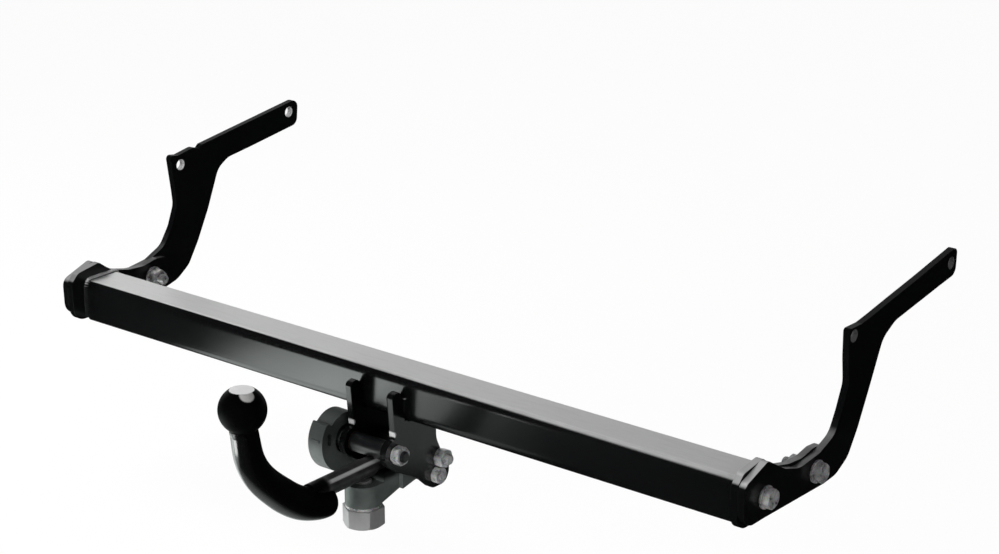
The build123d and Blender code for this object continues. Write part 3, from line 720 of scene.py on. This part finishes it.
def smoothed(piece, angle=35):
    """Smooth shading with sharp edges kept, and flats that stay flat."""
    piece.data.shade_smooth()
    piece.data.set_sharp_from_angle(angle=radians(angle))
    weighted = piece.modifiers.new("flats", "WEIGHTED_NORMAL")
    weighted.keep_sharp = True
    weighted.weight = 60
    return settled(piece)


def rounded(piece, width, segments=3, angle=30):
    """The piece with its sharp edges rounded."""
    edges = piece.modifiers.new("edges", "BEVEL")
    edges.width, edges.segments = width, segments
    edges.limit_method, edges.angle_limit = "ANGLE", radians(angle)
    return settled(piece)


def fitted(piece, body, finish, *nodes):
    """Give a piece its finish, tie it to its body, and hide the nodes that it stands for."""
    piece.data.materials.clear()
    piece.data.materials.append(finish_named(finish))
    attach(piece, body)
    if nodes:
        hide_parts(*nodes)


def dressed(node, name, body, finish, edge, segments=3, angle=30):
    """A node's mesh, merged and with its flats made whole, with rounded edges and a finish."""
    work = bmesh.new()
    work.from_mesh(NODES[node].data)
    bmesh.ops.remove_doubles(work, verts=work.verts, dist=MERGE)
    bmesh.ops.dissolve_limit(work, angle_limit=radians(0.5), verts=work.verts, edges=work.edges)
    mesh = bpy.data.meshes.new(name)
    work.to_mesh(mesh)
    work.free()
    for attribute in ("custom_normal", "sharp_face", "sharp_edge"):
        if attribute in mesh.attributes:
            mesh.attributes.remove(mesh.attributes[attribute])
    fitted(smoothed(rounded(linked(name, mesh), edge, segments, angle)), body, finish, node)


def new_tree(name, sockets):
    """Geometry node tree with its bench, its input values and the identifiers of its inputs."""
    tree = bpy.data.node_groups.new(name, "GeometryNodeTree")
    tree.interface.new_socket("Geometry", in_out="INPUT", socket_type="NodeSocketGeometry")
    tree.interface.new_socket("Geometry", in_out="OUTPUT", socket_type="NodeSocketGeometry")
    keys = {}
    for label, kind in {**sockets, "Finish": "NodeSocketMaterial"}.items():
        keys[label] = tree.interface.new_socket(label, in_out="INPUT", socket_type=kind).identifier
    bench = Bench(tree)
    return tree, bench, bench.add("NodeGroupInput"), keys


def end_tree(bench, geometry, inputs):
    """End a tree in plain geometry with its finish."""
    plain = bench.add("GeometryNodeRealizeInstances", None, {"Geometry": geometry})
    painted = bench.add("GeometryNodeSetMaterial", None, {"Geometry": plain, "Material": inputs["Finish"]})
    bench.add("NodeGroupOutput", None, {"Geometry": painted})


def round_skin(bench, line, girth, inputs):
    """Round skin over a line, with a radius at each of its points."""
    section = bench.add("GeometryNodeCurvePrimitiveCircle", None, {"Resolution": inputs["Sides"],
                                                                   "Radius": 1.0})
    return bench.add("GeometryNodeCurveToMesh", None,
                     {"Curve": line, "Profile Curve": section, "Scale": girth, "Fill Caps": True})


def placing_tree():
    """Tree that sets one fastener on every point, turned as the point says."""
    tree, bench, inputs, keys = new_tree("placed fasteners", {"Fastener": "NodeSocketObject"})
    fastener = bench.add("GeometryNodeObjectInfo", {"transform_space": "ORIGINAL"},
                         {"Object": inputs["Fastener"]}, output="Geometry")
    turn = bench.add("GeometryNodeInputNamedAttribute", {"data_type": "FLOAT_VECTOR"}, {"Name": "turn"})
    placed = bench.add("GeometryNodeInstanceOnPoints", None,
                       {"Points": inputs["Geometry"], "Instance": fastener, "Rotation": turn})
    end_tree(bench, placed, inputs)
    return tree, keys


def bead_tree():
    """Tree that lays a rippled weld bead along every path."""
    tree, bench, inputs, keys = new_tree("weld beads", {
        "Radius": "NodeSocketFloat", "Ripple": "NodeSocketFloat", "Depth": "NodeSocketFloat",
        "Sides": "NodeSocketInt"})
    path = bench.add("GeometryNodeMeshToCurve", None, {"Mesh": inputs["Geometry"]})
    fine = bench.add("GeometryNodeResampleCurve", {"mode": "LENGTH"},
                     {"Curve": path, "Length": inputs["Ripple"] / RIPPLE_POINTS})
    along = bench.add("GeometryNodeSplineParameter", output="Length")
    wave = bench.maths("FRACT", along / inputs["Ripple"])
    drift = bench.noise(bench.add("GeometryNodeInputPosition"), 90.0, 1.0)
    girth = inputs["Radius"] * (1 - inputs["Depth"] * wave * wave) * (0.88 + 0.24 * drift)
    end_tree(bench, round_skin(bench, fine, girth, inputs), inputs)
    return tree, keys


def bar_tree():
    """Tree that skins a line whose points carry their radius."""
    tree, bench, inputs, keys = new_tree("neck bar", {"Sides": "NodeSocketInt"})
    line = bench.add("GeometryNodeMeshToCurve", None, {"Mesh": inputs["Geometry"]})
    girth = bench.add("GeometryNodeInputNamedAttribute", {"data_type": "FLOAT"}, {"Name": "girth"})
    end_tree(bench, round_skin(bench, line, girth, inputs), inputs)
    return tree, keys


def grown(piece, tree, keys, finish, values):
    """The piece after a geometry node tree, with the tree's inputs set by name."""
    modifier = piece.modifiers.new("grown", "NODES")
    modifier.node_group = tree
    for label, value in {**values, "Finish": finish_named(finish)}.items():
        modifier[keys[label]] = value
    return settled(piece)


def facing(side, turn=0.0):
    """Turn that points a fastener's Z axis along +X or -X, with its hexagon turned."""
    base = Matrix(((0, 0, side), (1, 0, 0), (0, side, 0)))
    return (base @ Matrix.Rotation(side * turn, 3, "Z")).to_euler()


def from_beam(x, spot):
    """Point at a distance x, and at y and z from the beam's axis."""
    return Vector((x, BEAM.y + spot[0], BEAM.z + spot[1]))


def fastened(name, shape, places, node, body="towbar_frame", finish="zinc"):
    """Fasteners of one shape on several places, as one mesh in place of a node."""
    points = from_points(name, [place for place, turn in places], [])
    turns = points.data.attributes.new("turn", "FLOAT_VECTOR", "POINT")
    for i, (place, turn) in enumerate(places):
        turns.data[i].vector = turn
    tree, keys = placing_tree()
    grown(points, tree, keys, finish, {"Fastener": shape})
    bpy.data.objects.remove(shape)
    fitted(smoothed(rounded(points, FASTENER_EDGE, 2, 32), 40), body, finish, node)


def smooth_line(points, start, end, count):
    """Points along a cubic spline through the given ones, with its two end slopes."""
    knots = np.concatenate(([0.0], np.cumsum(np.linalg.norm(np.diff(points, axis=0), axis=1))))
    gaps = np.diff(knots)
    size = len(points)
    system, target = np.zeros((size, size)), np.zeros((size, 2))
    system[0, 0] = system[-1, -1] = 1.0
    target[0], target[-1] = start, end
    for i in range(1, size - 1):
        system[i, i - 1:i + 2] = gaps[i], 2 * (gaps[i - 1] + gaps[i]), gaps[i - 1]
        target[i] = 3 * (gaps[i] / gaps[i - 1] * (points[i] - points[i - 1])
                         + gaps[i - 1] / gaps[i] * (points[i + 1] - points[i]))
    slopes = np.linalg.solve(system, target)
    line = []
    for s in np.linspace(0.0, knots[-1], count):
        i = min(int(np.searchsorted(knots, s, "right")) - 1, size - 2)
        t = (s - knots[i]) / gaps[i]
        line.append((2 * t**3 - 3 * t**2 + 1) * points[i] + (t**3 - 2 * t**2 + t) * gaps[i] * slopes[i]
                    + (3 * t**2 - 2 * t**3) * points[i + 1] + (t**3 - t**2) * gaps[i] * slopes[i + 1])
    return np.array(line)


def tube_section(half, across, up, corners=(0, 1, 2, 3)):
    """Points round the beam's section, as y and z from its axis, over the named corners."""
    points = []
    for corner in corners:
        side_y, side_z = ((1, 1), (-1, 1), (-1, -1), (1, -1))[corner]
        for turn in np.linspace(0, pi / 2, CORNER_COUNT):
            angle = turn + corner * pi / 2
            points.append((side_y * (half - across) + across * cos(angle),
                           side_z * (half - up) + up * sin(angle)))
    return points


class TOWBAR_OT_beam(Operator):
    """Make the cross beam, a hollow square tube with rounded corners."""

    bl_idname, bl_label = "towbar.beam", "Beam"

    def execute(self, context):
        sizes = context.scene.towbar.beam
        half = span("cross_beam").y / 2
        outside = tube_section(half, sizes.corner_across, sizes.corner_up)
        inside = tube_section(half - sizes.wall, sizes.corner_across - sizes.wall,
                              sizes.corner_up - sizes.wall)
        rings = [[from_beam(x, spot) for spot in section]
                 for x, section in ((-PLATE_INSIDE, outside), (PLATE_INSIDE, outside),
                                    (PLATE_INSIDE, inside), (-PLATE_INSIDE, inside))]
        beam = smoothed(from_rings("beam_tube", rings, joined=True), 25)
        fitted(beam, "towbar_frame", "black_coat", "cross_beam")
        return {"FINISHED"}


class TOWBAR_OT_arms(Operator):
    """Dress the side arms and the end plates, with rounded edges."""

    bl_idname, bl_label = "towbar.arms", "Arms and end plates"

    def execute(self, context):
        edge = context.scene.towbar.plates.arm_edge
        for node in ("side_arm_right", "side_arm_left", "end_plate_right", "end_plate_left"):
            dressed(node, node + "_cut", "towbar_frame", "arm_coat", edge)
        return {"FINISHED"}


class TOWBAR_OT_bracket(Operator):
    """Dress the cheeks and the receiver block."""

    bl_idname, bl_label = "towbar.bracket", "Bracket"

    def execute(self, context):
        plates = context.scene.towbar.plates
        for node, edge, finish in (("cheek_right", plates.cheek_edge, "cheek_coat"),
                                   ("cheek_left", plates.cheek_edge, "cheek_coat"),
                                   ("receiver_block", plates.block_edge, "block_coat")):
            dressed(node, node + "_cut", "towbar_frame", finish, edge, 4)
        return {"FINISHED"}


class TOWBAR_OT_wheel(Operator):
    """Dress the hand wheel."""

    bl_idname, bl_label = "towbar.wheel", "Hand wheel"

    def execute(self, context):
        edge = context.scene.towbar.plates.wheel_edge
        dressed("hand_wheel", "wheel_grip", "clamp_wheel", "wheel_plastic", edge, 2, 50)
        return {"FINISHED"}


class TOWBAR_OT_neck(Operator):
    """Make the swan neck with its ball, the ball's bare flat and the machined shank."""

    bl_idname, bl_label = "towbar.neck", "Swan neck"

    def execute(self, context):
        sizes = context.scene.towbar.neck
        fitted(self.bar(sizes), "ball_neck", "neck_coat", "swan_neck")
        fitted(self.flat(sizes), "ball_neck", "flat_steel")
        fitted(self.shank(sizes), "ball_neck", "shank_steel")
        return {"FINISHED"}

    def rows(self, sizes):
        """Places and radii of the rings from the ball's flat to the end of the bar."""
        ball, bar, collar = sizes.ball / 2, sizes.bar_top / 2, sizes.collar
        hollow = -sqrt((ball + collar) ** 2 - (bar + collar) ** 2)
        leave = hollow * ball / (ball + collar)
        rows = []
        for angle in np.linspace(np.arccos(sizes.flat / ball), np.arccos(leave / ball), BALL_RINGS):
            rows.append((0.0, ball * cos(angle), ball * sin(angle)))
        for height in np.linspace(leave, hollow, COLLAR_RINGS)[1:]:
            rows.append((0.0, height, bar + collar - sqrt(collar**2 - (height - hollow) ** 2)))
        line = smooth_line(np.array(NECK_LINE) * MM, np.array(NECK_START), np.array(NECK_END), BAR_RINGS)
        low = len([point for point in line if BEAM.z + point[1] > hollow - MM])
        for i in range(low, len(line)):
            share = min(1.0, i / (len(line) - 1) / sizes.full_at)
            rows.append((BEAM.y + line[i][0], BEAM.z + line[i][1],
                         bar + (sizes.bar_low / 2 - bar) * share))
        end, full, turn = rows[-1], sizes.bar_low / 2, sizes.end_round
        for angle in np.linspace(0, pi / 2, END_RINGS)[1:]:
            rows.append((end[0] + turn * sin(angle), end[1], full - turn + turn * cos(angle)))
        return rows

    def bar(self, sizes):
        """Ball and bar as one skin."""
        rows = self.rows(sizes)
        line = from_points("neck_bar", [(0, y, z) for y, z, girth in rows], [],
                           [(i, i + 1) for i in range(len(rows) - 1)])
        girths = line.data.attributes.new("girth", "FLOAT", "POINT")
        for i, (y, z, girth) in enumerate(rows):
            girths.data[i].value = girth
        tree, keys = bar_tree()
        return smoothed(grown(line, tree, keys, "neck_coat", {"Sides": ROUND_COUNT}), 40)

    def flat(self, sizes):
        """Thin turned disc on the ball's flat."""
        radius = sqrt((sizes.ball / 2) ** 2 - sizes.flat**2)
        rings = [circle(radius - inset, sizes.flat + rise) for inset, rise in FLAT_RINGS]
        return smoothed(from_rings("ball_flat", rings))

    def shank(self, sizes):
        """Machined shank with its chamfers and the groove for the cam."""
        radius, thin = sizes.shank / 2, sizes.shank / 2 - SHANK_CHAMFER
        ends = ((SHANK_REAR, thin), (SHANK_REAR + SHANK_CHAMFER, radius),
                (SHANK_TIP - SHANK_CHAMFER, radius), (SHANK_TIP, thin))
        rings = [[Vector((point.x, reach, SHANK_Z + point.y)) for point in circle(girth, 0, ROUND_COUNT)]
                 for reach, girth in ends]
        shank = from_rings("neck_shank", rings)
        groove = [[Vector((x, CLAMP.y + point.x, CLAMP.z + point.y))
                   for point in circle(GROOVE, 0, ROUND_COUNT)] for x in (-GROOVE_REACH, GROOVE_REACH)]
        cutter = from_rings("groove", groove)
        cut = shank.modifiers.new("groove", "BOOLEAN")
        cut.operation, cut.solver, cut.object = "DIFFERENCE", "EXACT", cutter
        settled(shank)
        bpy.data.objects.remove(cutter)
        return smoothed(rounded(shank, SHANK_EDGE, 2))


class TOWBAR_OT_fasteners(Operator):
    """Make the bolts, nuts and washers with turned rims and threads."""

    bl_idname, bl_label = "towbar.fasteners", "Fasteners"

    def execute(self, context):
        sizes = context.scene.towbar.fasteners
        self.arm_bolts(sizes)
        self.ties(sizes)
        self.screw(sizes)
        return {"FINISHED"}

    def arm_bolts(self, sizes):
        """Bolts of both arms, their nuts inside, and the washers."""
        head_x, inner_x = ARM_OUTSIDE + sizes.washer_height, PLATE_INSIDE - sizes.washer_height
        shape = bolt_shape(sizes.bolt_flats, sizes.bolt_head, sizes.bolt, sizes.bolt_length, sizes.pitch,
                           ARM_THREAD, BOLT_TIP)
        heads = ((head_x, BOLT_REAR), (head_x, BOLT_FRONT))
        fastened("arm_bolt_set", shape, self.both_sides(heads, BOLT_TURN), "arm_bolts")
        shape = nut_shape(sizes.bolt_flats, sizes.nut, sizes.bolt)
        nuts = ((PLATE_INSIDE - sizes.nut, BOLT_REAR), (inner_x - sizes.nut, BOLT_FRONT))
        fastened("arm_nut_set", shape, self.both_sides(nuts, BOLT_TURN), "arm_nuts")
        shape = washer_shape(sizes.washer, sizes.washer_bore, sizes.washer_height)
        washers = ((ARM_OUTSIDE, BOLT_REAR), (ARM_OUTSIDE, BOLT_FRONT), (inner_x, BOLT_FRONT))
        fastened("arm_washer_set", shape, self.both_sides(washers, 0.0), "arm_washers")

    def both_sides(self, spots, turn):
        """Places and turns of fasteners on the right arm and on the left one."""
        return [(from_beam(side * x, spot), facing(side, turn)) for side in (1, -1) for x, spot in spots]

    def ties(self, sizes):
        """Two bolts through the bracket with nuts on its right side, and the nut of the cross shaft."""
        for name, spot, bolt, flats, head, nut, reach in (
                ("upper", TIE_UPPER, sizes.bolt, sizes.bolt_flats, sizes.bolt_head, sizes.nut, UPPER_REACH),
                ("lower", TIE_LOWER, sizes.small_bolt, sizes.small_flats, sizes.small_head,
                 sizes.small_nut, LOWER_REACH)):
            shape = bolt_shape(flats, head, bolt, 2 * CHEEK_OUTSIDE + nut + reach, sizes.pitch, TIE_THREAD,
                               BOLT_TIP)
            fastened(f"tie_bolt_{name}_set", shape,
                     [(from_beam(-CHEEK_OUTSIDE, spot), facing(-1, TIE_TURN))], f"tie_bolt_{name}")
            fastened(f"tie_nut_{name}_set", nut_shape(flats, nut, bolt),
                     [(from_beam(CHEEK_OUTSIDE, spot), facing(1, TIE_TURN))], f"tie_nut_{name}")
        fastened("shaft_nut_set", nut_shape(sizes.bolt_flats, sizes.nut, sizes.bolt),
                 [(Vector((NUT_FACE, CLAMP.y, CLAMP.z)), facing(1, SHAFT_NUT_TURN))], "shaft_nut",
                 body="clamp_wheel")

    def screw(self, sizes):
        """Large hexagon screw under the boss, and its washer."""
        seat, length = Vector((0, SCREW.y, SCREW_SEAT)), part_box("support_screw")[1].z - SCREW_SEAT
        shape = bolt_shape(sizes.screw_flats, sizes.screw_head, sizes.screw, length, sizes.screw_pitch,
                           SCREW_THREAD, SCREW_TIP)
        fastened("support_screw_set", shape, [(seat, Euler((pi, 0, SCREW_TURN)))], "support_screw",
                 finish="steel_along_z")
        shape = washer_shape(sizes.seat, sizes.seat_bore, sizes.seat_height)
        fastened("support_washer_set", shape, [(seat, Euler())], "support_washer")


class TOWBAR_OT_welds(Operator):
    """Lay rippled weld beads between the beam, the end plates and the cheeks."""

    bl_idname, bl_label = "towbar.welds", "Welds"

    def execute(self, context):
        sizes, section = context.scene.towbar.welds, context.scene.towbar.beam
        half, across, up = span("cross_beam").y / 2, section.corner_across, section.corner_up
        around = [(half, BEAD_FRONT), *tube_section(half, across, up, (0, 1)), (-half, BEAD_REAR)]
        self.lay("beam_beads", PLATE_INSIDE, [around], sizes, sizes.bead, sizes.depth, "arm_coat",
                 "beam_welds")
        back = [(-half, CHEEK_BEAD_TOP), (-half, up - half)]
        under = [(across - half, -half), (half - across, -half)]
        self.lay("cheek_beads", CHEEK_OUTSIDE, [back, under], sizes, CHEEK_GIRTH * sizes.bead,
                 CHEEK_DEPTH * sizes.depth, "black_coat", "cheek_welds")
        return {"FINISHED"}

    def lay(self, name, reach, lines, sizes, girth, depth, finish, node):
        """Beads along lines of spots from the beam's axis, on the right and on the left, as one mesh."""
        points, edges = [], []
        for side in (1, -1):
            for line in lines:
                edges += [(len(points) + i, len(points) + i + 1) for i in range(len(line) - 1)]
                points += [from_beam(side * reach, spot) for spot in line]
        values = {"Radius": girth, "Ripple": sizes.ripple, "Depth": depth, "Sides": sizes.around}
        tree, keys = bead_tree()
        beads = smoothed(grown(from_points(name, points, [], edges), tree, keys, finish, values), 50)
        fitted(beads, "towbar_frame", finish, node)


class TOWBAR_OT_small_parts(Operator):
    """Give the inner pieces and the wheel's cap their finishes."""

    bl_idname, bl_label = "towbar.small_parts", "Inner pieces"

    def execute(self, context):
        for node, finish in (("bush_left", "bronze"), ("bush_right", "bronze"),
                             ("clamp_shaft", "shaft_coat"), ("wheel_screw", "zinc"),
                             ("wheel_cap", "cap_plastic"), ("shank_key", "steel_along_y")):
            NODES[node].data.materials.clear()
            NODES[node].data.materials.append(finish_named(finish))
        return {"FINISHED"}


# Lamps: their places, what they face, and their widths and heights. The glint is seen by gloss alone.
LAMPS = {"side": ((-2.0, -0.6, 0.3), (0, 0.1, -0.05), (0.4, 0.5)),
         "front": ((0.1, -1.8, 0.3), (0, 0.15, -0.1), (0.6, 0.6)),
         "fill": ((1.15, -0.3, 0.3), (0.45, 0.25, -0.05), (0.3, 0.3)),
         "glint": ((-0.107, -0.115, -0.13), (0, 0, -0.04), (0.08, 0.03)),
         "top": ((-1.3, 0.1, 1.3), (0, 0.2, 0), (0.8, 0.8))}

# Light that only gloss sees: the way away from the camera, the levels nearby and far off, and on the floor
# a pool and patches of light with their middle x and y, their radius and, for the patches, their level
AWAY, NEAR_LEVEL, FAR_LEVEL = (-0.62, 0.78), 0.015, 0.45
POOL = (-0.45, -0.17, 0.17)
PATCHES = ((-0.30, -0.17, 0.18, 0.7), (-0.33, 0.07, 0.19, 1.4), (-0.13, 0.06, 0.20, 0.3),
           (-0.13, 0.18, 0.11, 0.5), (0.30, 0.56, 0.20, 0.25))

# Soft edges of that light: round a spot, where the floor is far off, and at the wall's sides and top
SPOT_EDGE, FAR_FLOOR, WALL_SIDES, WALL_TOP = (0.15, 1.0), (1.2, 2.6), (0.62, 0.88), (0.5, 0.75)
MIRRORED_TINT, WHITE = (0.93, 1, 0.97, 1), (1, 1, 1, 1)

# Half width of the floor, and its share of plain white beside its shadow
FLOOR_REACH, FLOOR_WHITE = 40.0, 0.96


class TOWBAR_OT_stage(Operator):
    """Set up the camera, the lamps, the floor and the white background."""

    bl_idname, bl_label = "towbar.stage", "Stage"

    def execute(self, context):
        stage = context.scene.towbar.stage
        self.camera(context, stage)
        for name, (place, target, size) in LAMPS.items():
            self.lamp(name, place, target, size, getattr(stage, name))
        self.floor(stage)
        self.world(context, stage)
        context.scene.view_settings.view_transform = "Standard"
        return {"FINISHED"}

    def camera(self, context, stage):
        """Camera at the photographed angle."""
        lens = bpy.data.cameras.new("camera")
        lens.sensor_width, lens.lens = 36.0, stage.lens
        lens.clip_start, lens.clip_end = 0.05, 100.0
        camera = linked("camera", lens)
        camera.location, camera.rotation_euler = stage.camera_place, stage.camera_turn
        context.scene.camera = camera

    def lamp(self, name, place, target, size, power):
        """Soft rectangular lamp that the camera doesn't see, for gloss alone or for all but gloss."""
        light = bpy.data.lights.new(name, "AREA")
        light.shape, light.size, light.size_y, light.energy = "RECTANGLE", *size, power
        lamp = linked(name, light)
        lamp.location = place
        lamp.rotation_euler = (Vector(place) - Vector(target)).to_track_quat("Z", "Y").to_euler()
        lamp.visible_camera = False
        lamp.visible_glossy, lamp.visible_diffuse = name == "glint", name != "glint"

    def floor(self, stage):
        """Pale floor that keeps a faint shadow and is white to the camera."""
        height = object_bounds()[0][2] - stage.floor_drop
        corners = [(x, y, height) for x, y in ((-FLOOR_REACH, -FLOOR_REACH), (FLOOR_REACH, -FLOOR_REACH),
                                               (FLOOR_REACH, FLOOR_REACH), (-FLOOR_REACH, FLOOR_REACH))]
        floor = from_points("studio_floor", corners, [(0, 1, 2, 3)])
        material = bpy.data.materials.new("studio_floor")
        bench = empty_bench(material)
        rays = bench.add("ShaderNodeLightPath")
        place = bench.axes(bench.add("ShaderNodeTexCoord", output="Object"))
        pale = bench.add("ShaderNodeBsdfDiffuse", None, {"Color": WHITE})
        white = bench.add("ShaderNodeEmission", None, {"Color": WHITE, "Strength": 1.0})
        plain = bench.add("ShaderNodeMixShader", None, {0: FLOOR_WHITE, 1: pale, 2: white})
        level = NEAR_LEVEL + FAR_LEVEL * self.away(place).between(*FAR_FLOOR)
        level = level + stage.pool * self.spot(place, *POOL)
        for x, y, radius, share in PATCHES:
            level = level + share * self.spot(place, x, y, radius)
        mirrored = bench.add("ShaderNodeEmission", None, {"Color": MIRRORED_TINT, "Strength": level})
        seen = bench.add("ShaderNodeMixShader", None, {0: rays["Is Camera Ray"], 1: pale, 2: plain})
        surface = bench.add("ShaderNodeMixShader", None, {0: rays["Is Glossy Ray"], 1: seen, 2: mirrored})
        bench.add("ShaderNodeOutputMaterial", None, {"Surface": surface})
        floor.data.materials.append(material)
        floor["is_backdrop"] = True

    def away(self, place):
        """How far a place or a direction lies away from the camera."""
        return place["X"] * AWAY[0] + place["Y"] * AWAY[1]

    def spot(self, place, x, y, radius):
        """1 in the middle of a round spot on the floor, 0 outside."""
        across, deep = (place["X"] - x) / radius, (place["Y"] - y) / radius
        return 1 - (across * across + deep * deep).between(*SPOT_EDGE)

    def world(self, context, stage):
        """White to the camera; for mirrored light a pale wall behind the towbar, dark elsewhere."""
        context.scene.world = bpy.data.worlds.new("studio")
        bench = empty_bench(context.scene.world)
        rays = bench.add("ShaderNodeLightPath")
        way = bench.axes(bench.add("ShaderNodeTexCoord", output="Generated"))
        wall = abs(way["X"]) * self.away(way).between(*WALL_SIDES) * (1 - way["Z"].between(*WALL_TOP))
        glossy = NEAR_LEVEL + stage.panel * wall
        level = rays["Is Camera Ray"] + (1 - rays["Is Camera Ray"]) * (
            rays["Is Glossy Ray"] * glossy + (1 - rays["Is Glossy Ray"]) * stage.plain)
        light = bench.add("ShaderNodeBackground", None, {"Color": WHITE, "Strength": level})
        bench.add("ShaderNodeOutputWorld", None, {"Surface": light})


class TOWBAR_PT_sidebar(Panel):
    """Panel with the towbar's steps."""

    bl_label, bl_idname = "Towbar", "TOWBAR_PT_sidebar"
    bl_space_type, bl_region_type, bl_category = "VIEW_3D", "UI", "Towbar"

    def draw(self, context):
        for step in STEPS:
            self.layout.operator(step.bl_idname)


STEPS = (TOWBAR_OT_beam, TOWBAR_OT_arms, TOWBAR_OT_bracket, TOWBAR_OT_wheel, TOWBAR_OT_neck,
         TOWBAR_OT_fasteners, TOWBAR_OT_welds, TOWBAR_OT_small_parts, TOWBAR_OT_stage)
CLASSES = (TowbarFinishes, TowbarBeam, TowbarPlates, TowbarFasteners, TowbarWelds, TowbarNeck, TowbarStage,
           TowbarSettings, *STEPS, TOWBAR_PT_sidebar)


def register():
    for kind in CLASSES:
        bpy.utils.register_class(kind)
    bpy.types.Scene.towbar = PointerProperty(type=TowbarSettings)


def unregister():
    del bpy.types.Scene.towbar
    for kind in reversed(CLASSES):
        bpy.utils.unregister_class(kind)


def main():
    """Build the towbar and its stage."""
    register()
    bpy.ops.towbar.beam()
    bpy.ops.towbar.arms()
    bpy.ops.towbar.bracket()
    bpy.ops.towbar.wheel()
    bpy.ops.towbar.neck()
    bpy.ops.towbar.fasteners()
    bpy.ops.towbar.welds()
    bpy.ops.towbar.small_parts()
    bpy.ops.towbar.stage()


if __name__ == "__main__":
    main()
